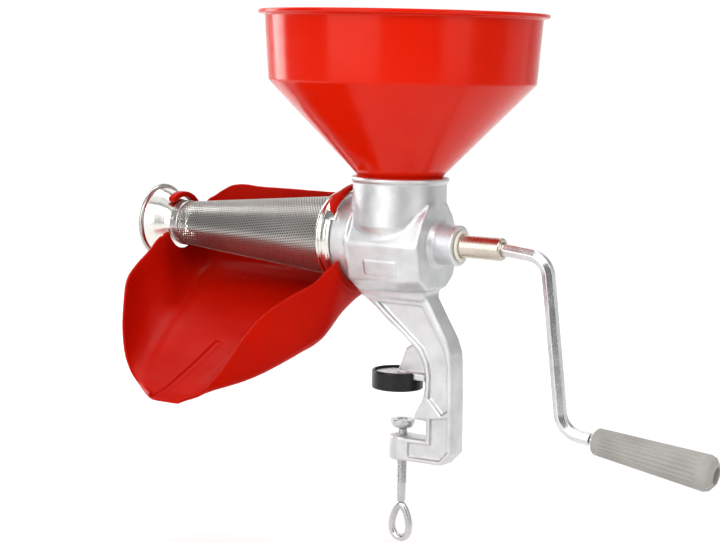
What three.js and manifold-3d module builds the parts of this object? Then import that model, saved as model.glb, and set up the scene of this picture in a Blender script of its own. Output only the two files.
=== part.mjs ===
// Hand-cranked tomato press, clamped to a table edge.
// Millimetres, +Z up, +X along the barrel towards the crank, -Y towards the juice lip.
// Origin: on the underside of the clamp pad, straight below the hopper axis.
import * as THREE from 'three';
import { mergeVertices } from 'three/addons/utils/BufferGeometryUtils.js';
import Module from 'manifold-3d';

const wasm = await Module();
wasm.setup();

// ---------------------------------------------------------------- driving dimensions
const AXIS_Z = 114;            // barrel axis above the table top
const GAP = 0.3;               // clearance between pieces that touch

const BODY_X0 = -28;           // faceted body, filter end
const BODY_X1 = 34.5;          // faceted body, crank end
const NECK_X0 = -41.5;         // round neck that the filter locks on
const NECK_R = 34.5;
const BARREL_R = 27.6;         // bore around the auger
const BOSS_R = 15.6;
const BOSS_X1 = 54;
const COLLAR_R = 36;
const COLLAR_LIP_R = 37.7;
const COLLAR_TOP = 49.3;       // above the axis
const COLLAR_BORE_R = 33.6;
const THROAT_R = 28.6;

const HOPPER_R = 110;          // lip radius
const HOPPER_TOP = 173.4;      // above the axis
const HOPPER_WALL = 2;

const LEG_T = 20;              // width of the leg across the barrel
const SCREW_X = 7.7;           // clamp screw axis
const SCREW_R = 3.95;          // M8
const PAD_X = 2;
const PAD_R = 20;
const PAD_H = 14.5;

const SLEEVE_R = 8.67;
const BAR_AF = 9;              // hexagon bar, across flats
const GRIP_LEN = 94;
const GRIP_R0 = 10;
const GRIP_R1 = 13.4;

const CONE_X0 = -203;          // perforated cone, outlet end
const CONE_X1 = -43.5;
const CONE_R0 = 17.3;
const CONE_R1 = 32.1;
const CONE_T = 0.8;

const FLARE_R = 30.6;
const FLARE_X0 = -230.8;

const TRAY_T = 2.2;

// ---------------------------------------------------------------- helpers
const V2 = (x, y) => new THREE.Vector2(x, y);
const V3 = (x, y, z) => new THREE.Vector3(x, y, z);

function toSolid(geometry) {
  const g = geometry.index ? geometry.toNonIndexed() : geometry;
  const bare = new THREE.BufferGeometry();
  bare.setAttribute('position', g.getAttribute('position').clone());
  const merged = mergeVertices(bare, 1e-4);
  const p = merged.getAttribute('position');
  const idx = merged.index.array;
  const tri = [];
  for (let i = 0; i < idx.length; i += 3) {
    const [a, b, c] = [idx[i], idx[i + 1], idx[i + 2]];
    if (a !== b && b !== c && a !== c) tri.push(a, b, c);
  }
  let vol = 0;
  const A = V3(), B = V3(), C = V3();
  for (let i = 0; i < tri.length; i += 3) {
    A.fromBufferAttribute(p, tri[i]); B.fromBufferAttribute(p, tri[i + 1]); C.fromBufferAttribute(p, tri[i + 2]);
    vol += A.dot(B.cross(C));
  }
  if (vol < 0) for (let i = 0; i < tri.length; i += 3) [tri[i + 1], tri[i + 2]] = [tri[i + 2], tri[i + 1]];
  return new wasm.Manifold(new wasm.Mesh({
    numProp: 3, vertProperties: new Float32Array(p.array), triVerts: new Uint32Array(tri),
  }));
}

function toGeometry(solid) {
  const m = solid.getMesh();
  const g = new THREE.BufferGeometry();
  g.setAttribute('position', new THREE.BufferAttribute(new Float32Array(m.vertProperties), 3));
  g.setIndex(new THREE.BufferAttribute(new Uint32Array(m.triVerts), 1));
  g.computeVertexNormals();
  return g;
}

// profile rows are [radius, height]; a closed profile that stays off the axis repeats its first row
function latheZ(rows, seg = 40, x = 0, y = 0, z = 0) {
  const g = new THREE.LatheGeometry(rows.map(([r, h]) => V2(r, h)), seg);
  g.rotateX(Math.PI / 2);
  g.translate(x, y, z);
  return toSolid(g);
}
function latheX(rows, seg = 40, z = AXIS_Z) {       // rows are [radius, x]
  const g = new THREE.LatheGeometry(rows.map(([r, h]) => V2(r, h)), seg);
  g.applyMatrix4(new THREE.Matrix4().makeBasis(V3(0, 1, 0), V3(1, 0, 0), V3(0, 0, -1)));
  g.translate(0, 0, z);
  return toSolid(g);
}
const rodX = (r, x0, x1, seg = 32, z = AXIS_Z) => latheX([[0, x0], [r, x0], [r, x1], [0, x1]], seg, z);
const rodZ = (r, z0, z1, seg = 32, x = 0, y = 0) => latheZ([[0, z0], [r, z0], [r, z1], [0, z1]], seg, x, y);
const ringX = (ri, ro, x0, x1, seg = 40) => latheX([[ri, x0], [ro, x0], [ro, x1], [ri, x1], [ri, x0]], seg);

function plateXZ(points, y0, y1) {                   // outline in x,z pushed along y
  const g = new THREE.ExtrudeGeometry(new THREE.Shape(points.map(([a, b]) => V2(a, b))), { depth: y1 - y0, bevelEnabled: false });
  g.rotateX(Math.PI / 2);
  g.translate(0, y1, 0);
  return toSolid(g);
}
function plateYZ(points, x0, x1, taper = null) {     // outline in y,z pushed along x
  const g = new THREE.ExtrudeGeometry(new THREE.Shape(points.map(([a, b]) => V2(a, b))), { depth: x1 - x0, bevelEnabled: false, steps: taper ? 3 : 1 });
  g.applyMatrix4(new THREE.Matrix4().makeBasis(V3(0, 1, 0), V3(0, 0, 1), V3(1, 0, 0)));
  g.translate(x0, 0, 0);
  if (taper) {
    const p = g.getAttribute('position');
    for (let i = 0; i < p.count; i++) {
      const k = taper(p.getX(i));
      p.setXYZ(i, p.getX(i), p.getY(i) * k, AXIS_Z + (p.getZ(i) - AXIS_Z) * k);
    }
  }
  return toSolid(g);
}
function box(x0, x1, y0, y1, z0, z1) {
  const g = new THREE.BoxGeometry(x1 - x0, y1 - y0, z1 - z0);
  g.translate((x0 + x1) / 2, (y0 + y1) / 2, (z0 + z1) / 2);
  return toSolid(g);
}
const up = (rows) => rows.map(([a, b]) => [a, b + AXIS_Z]);   // heights given from the barrel axis

// a route through listed points, one ring of the section at each of them
class Route extends THREE.Curve {
  constructor(points) { super(); this.points = points; }
  getPoint(t, target = V3()) {
    const n = this.points.length - 1;
    const k = Math.min(n - 1, Math.max(0, Math.floor(t * n)));
    return target.lerpVectors(this.points[k], this.points[k + 1], t * n - k);
  }
  getPointAt(u, target) { return this.getPoint(u, target); }
  getTangentAt(u, target) { return this.getTangent(u, target); }
}
// corner points with a bend radius at each inner one
function bent(corners, radii, seg = 7) {
  const out = [corners[0].clone()];
  for (let i = 1; i < corners.length - 1; i++) {
    const a = corners[i].clone().sub(corners[i - 1]).normalize();
    const b = corners[i + 1].clone().sub(corners[i]).normalize();
    const turn = a.angleTo(b), r = radii[i - 1], t = r * Math.tan(turn / 2);
    const p0 = corners[i].clone().addScaledVector(a, -t);
    const side = b.clone().addScaledVector(a, -a.dot(b)).normalize();
    const c = p0.clone().addScaledVector(side, r);
    for (let k = 0; k <= seg; k++) {
      const w = turn * k / seg;
      out.push(c.clone().addScaledVector(side, -r * Math.cos(w)).addScaledVector(a, r * Math.sin(w)));
    }
  }
  out.push(corners[corners.length - 1].clone());
  return out;
}
function sweep(section, points) {
  return toSolid(new THREE.ExtrudeGeometry(new THREE.Shape(section), { steps: points.length - 1, bevelEnabled: false, extrudePath: new Route(points) }));
}
const ngon = (n, r, phase = 0) => Array.from({ length: n }, (_, i) => V2(r * Math.cos(phase + i * 2 * Math.PI / n), r * Math.sin(phase + i * 2 * Math.PI / n)));

const assembly = new THREE.Group();
assembly.name = 'tomato_press';
function piece(name, solid, color, roughness, metalness) {
  const mesh = new THREE.Mesh(toGeometry(solid), new THREE.MeshStandardMaterial({ color, roughness, metalness }));
  mesh.name = name;
  assembly.add(mesh);
  return mesh;
}

// ---------------------------------------------------------------- body casting
// section of the body: widest at the cast crease on the axis, sloping in above and below it
const bodySection = up([
  [-35.2, -0.5], [-30.5, 10.5], [-25.5, 21], [-15, 32], [15, 32], [25.5, 21], [30.5, 10.5], [35.2, -0.5],
  [28.2, -28.5], [16, -37.2], [-16, -37.2], [-28.2, -28.5],
]);
let body = plateYZ(bodySection, BODY_X0, BODY_X1, (x) => 1 - 0.07 * Math.max(0, (x - 8) / 26.5) ** 1.5);
// upright collar, drawn in where it runs into the body
body = body.add(latheZ([
  [0, 0], [30.5, 0], [COLLAR_R, 13], [COLLAR_R, COLLAR_TOP - 4], [COLLAR_LIP_R, COLLAR_TOP - 2.6], [COLLAR_LIP_R, COLLAR_TOP - 0.6],
  [COLLAR_LIP_R - 0.6, COLLAR_TOP], [0, COLLAR_TOP],
], 40, 0, 0, AXIS_Z));
// neck for the filter with a rolled edge
body = body.add(latheX([[0, NECK_X0], [NECK_R - 0.8, NECK_X0], [NECK_R, NECK_X0 + 0.8], [NECK_R, BODY_X0 + 2], [0, BODY_X0 + 2]], 40));
// crank boss
body = body.add(latheX([[0, 30], [17.6, 30], [17.6, BODY_X1 + 1.2], [16.6, BODY_X1 + 2.6], [BOSS_R, BODY_X1 + 3.4], [BOSS_R, BOSS_X1 - 0.9], [BOSS_R - 0.9, BOSS_X1], [0, BOSS_X1]], 32));

// leg and clamp frame
const legOutline = up([
  [-29.5, -30], [-32.6, -35.4], [-27.7, -42], [-14, -51.7], [-4.8, -59.8], [7.2, -68.3], [18.5, -77.3], [24.8, -83.4], [29.3, -91.5], [31.2, -101],
  [31.2, -108.4], [30.4, -113.4], [28.4, -120], [24.4, -126.4], [22.3, -130.4], [22.3, -134.9], [32.9, -135.3],
  [32.9, -149.6], [7.7, -150], [7.7, -168.6], [47, -168.2], [55.9, -158.9], [55.4, -119.5], [54.4, -89], [53.6, -81.5], [50.1, -71.9], [40.1, -55.5], [30.5, -39.6], [29.5, -30],
]);
body = body.add(plateXZ(legOutline, -LEG_T / 2, LEG_T / 2));
body = body.add(rodZ(LEG_T / 2, AXIS_Z - 168.6, AXIS_Z - 150, 32, SCREW_X));
// fillet block between body and leg
body = body.add(plateXZ(up([[-28, -34], [30, -34], [30, -40.5], [27, -43], [-24, -43], [-28, -39]]), -12.5, 12.5));

// weight-saving pockets on both faces of the leg, each inside a raised rim
const upperPocket = up([
  [-12, -47.2], [26.6, -47.2], [36.6, -62.5], [46, -77.5], [50.2, -89.5], [51.2, -125.5], [46, -129], [34.6, -117.4], [35.2, -101], [33.2, -90], [27.6, -79.6], [20.4, -73.6], [8.6, -64], [-2, -55.8],
]);
const lowerPocket = up([
  [36.7, -133.2], [51.6, -130.6], [52.1, -157.4], [45.4, -164.8], [17.6, -165.2], [17.6, -153.6], [36.7, -153.2],
]);
for (const [pocket, deep] of [[upperPocket, 2.6], [lowerPocket, 2.6]]) {
  body = body.subtract(plateXZ(pocket, -LEG_T / 2 - 1, -LEG_T / 2 + deep));
  body = body.subtract(plateXZ(pocket, LEG_T / 2 - deep, LEG_T / 2 + 1));
}
// plate that carries the rubber pad, its arm and its web
const PLATE_Z0 = 4 + GAP, PLATE_Z1 = 12.6;
body = body.add(rodZ(PAD_R - 2.2 - GAP, PLATE_Z0, PLATE_Z1, 28, PAD_X));
body = body.add(box(14, 33, -7, 7, 8.6, 14.2));
body = body.add(plateXZ([[3, 12], [10.6, 32.4], [22, 40], [34, 32], [34, 12]], -4, 4));

// bayonet ramps on the neck, 148 degrees round from +Y and opposite
const BAYONET = 148 * Math.PI / 180;
function sectorX(ri, ro, x0, x1, mid, half, seg = 6) {   // block of a ring about the barrel axis
  const pts = [];
  for (let i = 0; i <= seg; i++) { const a = mid - half + 2 * half * i / seg; pts.push([ro * Math.cos(a), AXIS_Z + ro * Math.sin(a)]); }
  for (let i = seg; i >= 0; i--) { const a = mid - half + 2 * half * i / seg; pts.push([ri * Math.cos(a), AXIS_Z + ri * Math.sin(a)]); }
  return plateYZ(pts, x0, x1);
}
for (const a of [BAYONET, BAYONET + Math.PI]) body = body.add(sectorX(NECK_R - 2, 35.9, NECK_X0, NECK_X0 + 2.2, a, 0.11));

// hollows: hopper seat and throat, barrel, bush bore, screw hole
body = body.subtract(latheZ([[0, 0], [THROAT_R, 0], [THROAT_R, 26.6], [COLLAR_BORE_R - 1.2, 27.8], [COLLAR_BORE_R, 47.6], [COLLAR_BORE_R + 1, COLLAR_TOP + 1], [0, COLLAR_TOP + 1]], 40, 0, 0, AXIS_Z));
body = body.subtract(rodX(BARREL_R, NECK_X0 - 1, 27.2, 36));
body = body.subtract(rodX(10.7, 26, BOSS_X1 + 1, 28));
body = body.subtract(rodZ(SCREW_R + 0.35, AXIS_Z - 170, AXIS_Z - 148, 24, SCREW_X));
piece('body_casting', body, 0xc9cbcd, 0.5, 0.7);

// ---------------------------------------------------------------- clamp
let pad = latheZ([[0, 0], [PAD_R - 0.8, 0], [PAD_R, 0.8], [PAD_R, PAD_H - 0.7], [PAD_R - 0.7, PAD_H], [PAD_R - 1.7, PAD_H], [PAD_R - 2.2, PAD_H - 0.5], [PAD_R - 2.2, 4], [0, 4]], 28, PAD_X);
pad = pad.subtract(box(13, 26, -7 - GAP, 7 + GAP, 8.6 - GAP, 20));
piece('clamp_pad', pad, 0x15151a, 0.25, 0);

const CUP_TOP = -23.7;
const screwTip = CUP_TOP - 0.6;
let screw = latheZ([
  [0, AXIS_Z - 204], [3.5, AXIS_Z - 204], [3.5, AXIS_Z - 190.5], [SCREW_R, AXIS_Z - 189.5], [SCREW_R, CUP_TOP - 7.9], [2.5, CUP_TOP - 7.3], [2.5, CUP_TOP - 2.4],
  [3.5, CUP_TOP - 2.0], [3.5, screwTip - 0.4], [3.1, screwTip], [0, screwTip],
], 24, SCREW_X);
{ // bent eye: a pear-shaped loop of round rod
  const g = new THREE.TorusGeometry(10, 2.75, 8, 22);
  const p = g.getAttribute('position');
  for (let i = 0; i < p.count; i++) {
    const x = p.getX(i), y = p.getY(i), a = Math.atan2(x, y);
    const ox = x - 10 * Math.sin(a), oy = y - 10 * Math.cos(a);
    p.setXYZ(i, 7.6 * Math.sin(a) * (1 - 0.32 * Math.cos(a)) / 1.04 + ox, 13.4 * Math.cos(a) + oy, p.getZ(i));
  }
  g.rotateX(Math.PI / 2);
  g.translate(SCREW_X, 0, AXIS_Z - 218.9);
  screw = screw.add(toSolid(g));
}
piece('clamp_screw', screw, 0xb9bbbe, 0.25, 1);
piece('pressure_cup', latheZ([[2.9, CUP_TOP - 6.2], [7.4, CUP_TOP - 6.2], [9.5, CUP_TOP - 3.2], [9.5, CUP_TOP], [4.1, CUP_TOP], [4.1, CUP_TOP - 2.8], [2.9, CUP_TOP - 2.8], [2.9, CUP_TOP - 6.2]], 24, SCREW_X), 0xb0b2b5, 0.4, 1);

// ---------------------------------------------------------------- hopper
piece('hopper', latheZ([
  [31.5, 28.3], [32.9, 49.4], [33.15, 50.6], [100.9, 120.3], [101.6, 121.4], [105.0, 169.6], [109.3, 170.2], [HOPPER_R, 171], [HOPPER_R, 172.6], [109.2, HOPPER_TOP],
  [104.4, HOPPER_TOP], [103.2, 172.2], [99.7, 122], [30.6, 51.2], [29.5, 28.3], [31.5, 28.3],
], 40, 0, 0, AXIS_Z), 0xdc2808, 0.35, 0);

// ---------------------------------------------------------------- crank shaft
piece('shaft_bush', latheX([[SLEEVE_R + GAP, 31], [10.4, 31], [10.4, BOSS_X1 + GAP], [11.7, BOSS_X1 + GAP], [11.7, BOSS_X1 + 1.7], [10.8, BOSS_X1 + 2.2], [SLEEVE_R + GAP, BOSS_X1 + 2.2], [SLEEVE_R + GAP, 31]], 28), 0xe6e3d2, 0.5, 0);
piece('shaft_seal', latheX([[SLEEVE_R + GAP, 28.4], [9.3, 27.9], [10.1, 27.9], [10.4, 28.4], [10.4, 30.2], [10.1, 30.7], [9.3, 30.7], [SLEEVE_R + GAP, 30.2], [SLEEVE_R + GAP, 28.4]], 24), 0x1c1c1c, 0.6, 0);

const PIN_X = 84.5;
const hexBore = (af, x0, x1) => {
  const r = af / Math.sqrt(3);
  return plateYZ(ngon(6, r).map((v) => [v.x, AXIS_Z + v.y]), x0, x1);
};
let sleeve = latheX([[0, 18], [SLEEVE_R, 18], [SLEEVE_R, 88.9], [SLEEVE_R - 1.1, 90], [0, 90]], 28);
sleeve = sleeve.add(plateYZ([[-6, AXIS_Z - 6], [6, AXIS_Z - 6], [6, AXIS_Z + 6], [-6, AXIS_Z + 6]], -14, 18.5));   // square drive tang
sleeve = sleeve.subtract(hexBore(BAR_AF + 2 * GAP, 51, 91));
sleeve = sleeve.subtract(rodZ(1.8, AXIS_Z - 10, AXIS_Z + 10, 16, PIN_X));
piece('drive_sleeve', sleeve, 0xc8b9a4, 0.25, 1);
piece('sleeve_cross_pin', rodZ(1.5, AXIS_Z - 8.4, AXIS_Z + 8.4, 16, PIN_X), 0xaaaaaa, 0.4, 1);

// hexagon bar, bent twice in one plane
const GRIP_DIR = V3(0.9914, 0, -0.1308).normalize();
const GRIP_P0 = V3(168.7, 0, AXIS_Z - 133.2);                       // inner end of the grip
const barEnd = GRIP_P0.clone().addScaledVector(GRIP_DIR, -3.4);
const barRoute = bent([V3(51.6, 0, AXIS_Z), V3(92, 0, AXIS_Z), V3(125.7, 0, AXIS_Z - 3.6), V3(142.45, 0, AXIS_Z - 129.75), barEnd], [70, 17, 17], 7);
let bar = sweep(ngon(6, BAR_AF / Math.sqrt(3), Math.PI / 6), barRoute);
bar = bar.subtract(rodZ(1.8, AXIS_Z - 10, AXIS_Z + 10, 16, PIN_X));
piece('crank_bar', bar, 0xc4c6c9, 0.15, 1);

// pieces about the grip axis are turned up along +Z and laid over
function onGrip(solid) {
  const g = toGeometry(solid);
  g.applyQuaternion(new THREE.Quaternion().setFromUnitVectors(V3(0, 0, 1), GRIP_DIR));
  g.translate(GRIP_P0.x, GRIP_P0.y, GRIP_P0.z);
  return toSolid(g);
}
piece('grip_spindle', onGrip(latheZ([[0, -3.1], [3, -3.1], [3, GRIP_LEN - 8.6], [2.2, GRIP_LEN - 8.4], [2.2, GRIP_LEN - 4.6], [0, GRIP_LEN - 4.6]], 20)), 0xb9bbbe, 0.3, 1);
piece('grip_push_nut', onGrip(latheZ([[2.5, GRIP_LEN - 7.9], [5.4, GRIP_LEN - 7.9], [5.4, GRIP_LEN - 6.6], [3.4, GRIP_LEN - 5.6], [2.5, GRIP_LEN - 5.6], [2.5, GRIP_LEN - 7.9]], 20)), 0x9a9c9e, 0.4, 1);
piece('grip', onGrip(latheZ([
  [3.4, 0.4], [GRIP_R0 - 1.6, 0.4], [GRIP_R0, 2.2], [GRIP_R1, GRIP_LEN - 7], [GRIP_R1 - 1.2, GRIP_LEN - 3.4], [7.6, GRIP_LEN], [6.2, GRIP_LEN],
  [6.2, GRIP_LEN - 8.4], [3.4, GRIP_LEN - 8.4], [3.4, 0.4],
], 28)), 0xa6a49c, 0.6, 0);

// ---------------------------------------------------------------- auger
const AUGER_X0 = -197, AUGER_X1 = 16;
{
  // section: a round core with one fin; it turns as it runs along the axis, and the fin follows the cone
  const coreR = (x) => 8.2 + (x - AUGER_X0) / (AUGER_X1 - AUGER_X0) * 5.3;
  const finR = (x) => (x > -41 ? 26.4 : Math.min(26.4, CONE_R0 - CONE_T - 1.1 + (x - CONE_X0) * (CONE_R1 - CONE_R0) / (CONE_X1 - CONE_X0)));
  const pitch = (x) => 26 + (x - AUGER_X0) * 0.06;
  const N = 13, section = [];
  for (let i = 0; i < N; i++) section.push([2 * Math.PI * i / N, 0]);
  const half = 0.30;
  const ring = section.filter(([a]) => a > half + 0.12 && a < 2 * Math.PI - half - 0.12).map(([a]) => [a, 0]);
  ring.push([2 * Math.PI - half - 0.1, 0], [2 * Math.PI - half * 0.8, 0.5], [2 * Math.PI - half * 0.62, 1], [2 * Math.PI, 1], [2 * Math.PI + half * 0.62, 1], [2 * Math.PI + half * 0.8, 0.5], [2 * Math.PI + half + 0.1, 0]);
  const steps = 60;
  const shape = new THREE.Shape(ring.map(([a, f]) => V2((10 + 10 * f) * Math.cos(a), (10 + 10 * f) * Math.sin(a))));
  const g = new THREE.ExtrudeGeometry(shape, { depth: 1, steps, bevelEnabled: false });
  const p = g.getAttribute('position');
  const turn = [0];
  for (let i = 1; i <= steps; i++) { const x = AUGER_X0 + (AUGER_X1 - AUGER_X0) * (i - 0.5) / steps; turn.push(turn[i - 1] + 2 * Math.PI * (AUGER_X1 - AUGER_X0) / steps / pitch(x)); }
  for (let i = 0; i < p.count; i++) {
    const t = p.getZ(i), x = AUGER_X0 + t * (AUGER_X1 - AUGER_X0);
    const px = p.getX(i), py = p.getY(i);
    const f = Math.max(0, (Math.hypot(px, py) - 10) / 10);
    const ends = Math.min(1, (AUGER_X1 - x) / 6, (x - AUGER_X0) / 6);
    const r = coreR(x) + f * Math.max(0, ends) * (finR(x) - coreR(x));
    const a = Math.atan2(py, px) + turn[Math.round(t * steps)];
    p.setXYZ(i, x, r * Math.cos(a), AXIS_Z + r * Math.sin(a));
  }
  let auger = toSolid(g);
  auger = auger.add(rodX(15.5, AUGER_X1 - 9, AUGER_X1, 28));                                            // hub
  auger = auger.subtract(plateYZ([[-8.6, AXIS_Z - 8.6], [8.6, AXIS_Z - 8.6], [8.6, AXIS_Z + 8.6], [-8.6, AXIS_Z + 8.6]], -17, AUGER_X1 + 1));
  piece('auger', auger, 0xe9e6dc, 0.45, 0);
}
{
  const sq = (h) => [[-h, AXIS_Z - h], [h, AXIS_Z - h], [h, AXIS_Z + h], [-h, AXIS_Z + h]];
  piece('auger_drive_insert', plateYZ(sq(8.3), -16.6, AUGER_X1 - 0.6).subtract(plateYZ(sq(6.3), -14.3, AUGER_X1 + 1)), 0xa9abad, 0.4, 1);
}
piece('thrust_washer', ringX(SLEEVE_R + GAP, 15.5, 25.4, 26.9, 24), 0xdedbd0, 0.5, 0);
{
  const pts = [], turns = 2.6, R = 11.6;
  for (let i = 0; i <= 32; i++) { const a = 2 * Math.PI * turns * i / 32; pts.push(V3(17.4 + 6.7 * i / 32, R * Math.cos(a), AXIS_Z + R * Math.sin(a))); }
  piece('auger_spring', sweep(ngon(6, 0.8), pts), 0x9fa1a3, 0.35, 1);
}

// ---------------------------------------------------------------- filter
const coneR = (x) => CONE_R0 + (x - CONE_X0) * (CONE_R1 - CONE_R0) / (CONE_X1 - CONE_X0);
piece('filter_cone', latheX([[CONE_R0 - CONE_T, CONE_X0], [CONE_R0, CONE_X0], [CONE_R1, CONE_X1], [CONE_R1 - CONE_T, CONE_X1], [CONE_R0 - CONE_T, CONE_X0]], 36), 0x8b8987, 0.35, 1);
const flange = latheX([
  [coneR(-56) + GAP, -56], [33.2, -55.4], [35.2, -53.6], [35.2, -51.8], [33.9, -51], [33.9, -48.9], [35.9, -48], [35.9, -44.6], [35.3, -43.9], [35.3, -41.8],
  [CONE_R1 + GAP, -41.8], [CONE_R1 + GAP, CONE_X1], [coneR(-56) + GAP, -56],
], 36);
piece('filter_flange', flange, 0xc2c1bd, 0.25, 1);
for (const [name, a] of [['filter_hook_near', BAYONET], ['filter_hook_far', BAYONET + Math.PI]]) {
  const hook = sectorX(36.25, 37.4, -47.4, -37.5, a, 0.115).add(sectorX(35.0, 37.0, -38.9, -37.5, a, 0.115));
  piece(name, hook, 0xc8c7c3, 0.25, 1);
}
piece('outlet_band', latheX([[17.75, -207], [18.5, -207], [18.9, -206], [18.9, -200.6], [18.5, -199.8], [17.9, -199.8], [17.75, -207]], 32), 0xb9b7b2, 0.3, 1);
// trumpet with a rolled rim
piece('outlet_flare', latheX([
  [16.5, -203.3], [17.2, -203.3], [17.3, -206], [19.4, -211], [24.2, -219], [28.4, -226.6],
  [30.4, -228.0], [FLARE_R, -229.4], [29.3, FLARE_X0], [28.0, -229.8],
  [27.6, -226.8], [23.5, -219.2], [18.7, -211.4], [16.5, -206], [16.5, -203.3],
], 32), 0xcfcdc6, 0.15, 1);

// ---------------------------------------------------------------- drip tray
// Sections run from the back wall, over the floor, to the lip. Each has the left rim, the left foot,
// the right foot and the right rim as [x, y, height from the axis].
const TRAY = [
  { L: [-206.2, 31.2, 15.5], l: [-199.5, 31.7, 20.5], c: [[-183, 33, 30], [-148, 35, 30.6], [-98, 38, 30.2]], r: [-40, 41.4, 29.2], R: [-36.4, 41.7, 28] },
  { L: [-206.2, 31, 4], l: [-202, 31.3, 4], c: [[-183, 32.4, 5], [-148, 34.5, 5], [-98, 37.6, 5]], r: [-39, 41, 5], R: [-36.4, 41.2, 5] },
  { L: [-206.2, 30, -10], l: [-203, 30.2, -12], c: [[-183, 31.5, -13], [-148, 33.6, -14], [-98, 36.8, -15]], r: [-38.5, 40.4, -14], R: [-36.4, 40.6, -12] },
  { L: [-206.2, 26.5, -4], l: [-200, 27.5, -24], c: [[-183, 28, -28.5], [-148, 30, -29.6], [-98, 33, -31]], r: [-39, 35.6, -28], R: [-36.4, 37.4, -18] },
  { L: [-206.2, 22.2, -11], l: [-197, 21, -33], c: [[-183, 21, -36], [-148, 21, -37.5], [-98, 22, -38.5]], r: [-39, 24, -37.5], R: [-36.4, 28.6, -27] },
  { L: [-206.2, 12, -22.2], l: [-195, 11, -39.5], c: [[-182, 11, -41.5], [-148, 11, -42.5], [-98, 11, -43.5]], r: [-39, 13, -42.6], R: [-36.4, 15, -37.2] },
  { L: [-206.2, 0, -25.2], l: [-193, 0, -45], c: [[-180, 0, -46.4], [-148, 0, -47.6], [-98, 0, -48.6]], r: [-40, 0, -47.6], R: [-36.4, 0, -40.2] },
  { L: [-206.2, -14, -21], l: [-190.5, -14, -50.6], c: [[-176, -14, -53], [-146, -14, -55], [-98, -15, -56.6]], r: [-41, -16, -55.4], R: [-36.4, -17, -36.4] },
  { L: [-206.2, -27, -9], l: [-187.5, -29, -56.5], c: [[-172, -29, -59.6], [-144, -29, -62.6], [-97, -30, -65]], r: [-43.5, -31, -65.4], R: [-36.4, -32.6, -18.6] },
  { L: [-205.4, -46, -19.6], l: [-183, -46, -62.4], c: [[-168, -46, -66], [-142, -46, -69.8], [-97, -47, -73.4]], r: [-51, -48, -74.4], R: [-46.4, -44, -31.2] },
  { L: [-203, -65, -29], l: [-179, -62, -69], c: [[-164, -62, -72.6], [-139, -62, -76], [-98, -63, -80]], r: [-60, -64.5, -82.4], R: [-57.6, -62.5, -41.6] },
  { L: [-195.6, -85, -38.2], l: [-174.5, -77, -76.6], c: [[-160, -77, -80], [-136, -78, -83], [-99, -78, -87]], r: [-69, -80, -90], R: [-68.6, -79, -54] },
  { L: [-186, -100, -52.6], l: [-169, -91, -84.6], c: [[-155, -92, -87.6], [-133, -92, -90], [-101, -92, -93.6]], r: [-77, -93, -96.6], R: [-78.4, -90, -70] },
  { L: [-175.6, -114, -71.6], l: [-161.6, -107, -92.4], c: [[-149, -107, -94.4], [-130, -107, -96.6], [-103, -107, -99.6]], r: [-83, -107, -102], R: [-84, -103, -86.6] },
  { L: [-163.4, -125, -90.6], l: [-152, -121, -99.6], c: [[-142, -121, -101], [-126, -121, -102.8], [-104.6, -121, -105]], r: [-87.6, -121, -106.6], R: [-87.6, -118, -101.6] },
  { L: [-148.6, -132, -106], l: [-141, -133, -106.4], c: [[-133, -134, -107.4], [-121, -134, -108.4], [-105.4, -134, -109.4]], r: [-91, -135, -110], R: [-88.6, -134, -108.6] },
  { L: [-134, -141, -110.6], l: [-130, -142.6, -110.6], c: [[-124.6, -144, -110.8], [-116.6, -145.4, -111], [-104.6, -146.4, -111.2]], r: [-94, -147.4, -111.2], R: [-91.4, -147.6, -110.6] },
  { L: [-121.8, -149, -111.6], l: [-119.4, -151.6, -111.6], c: [[-116.6, -153.8, -111.6], [-112, -155.4, -111.6], [-103, -155.9, -111.6]], r: [-94, -155.9, -111.6], R: [-91.6, -155.7, -111.6] },
];
const lerp = (a, b, t) => [0, 1, 2].map((k) => a[k] + (b[k] - a[k]) * t);
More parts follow.
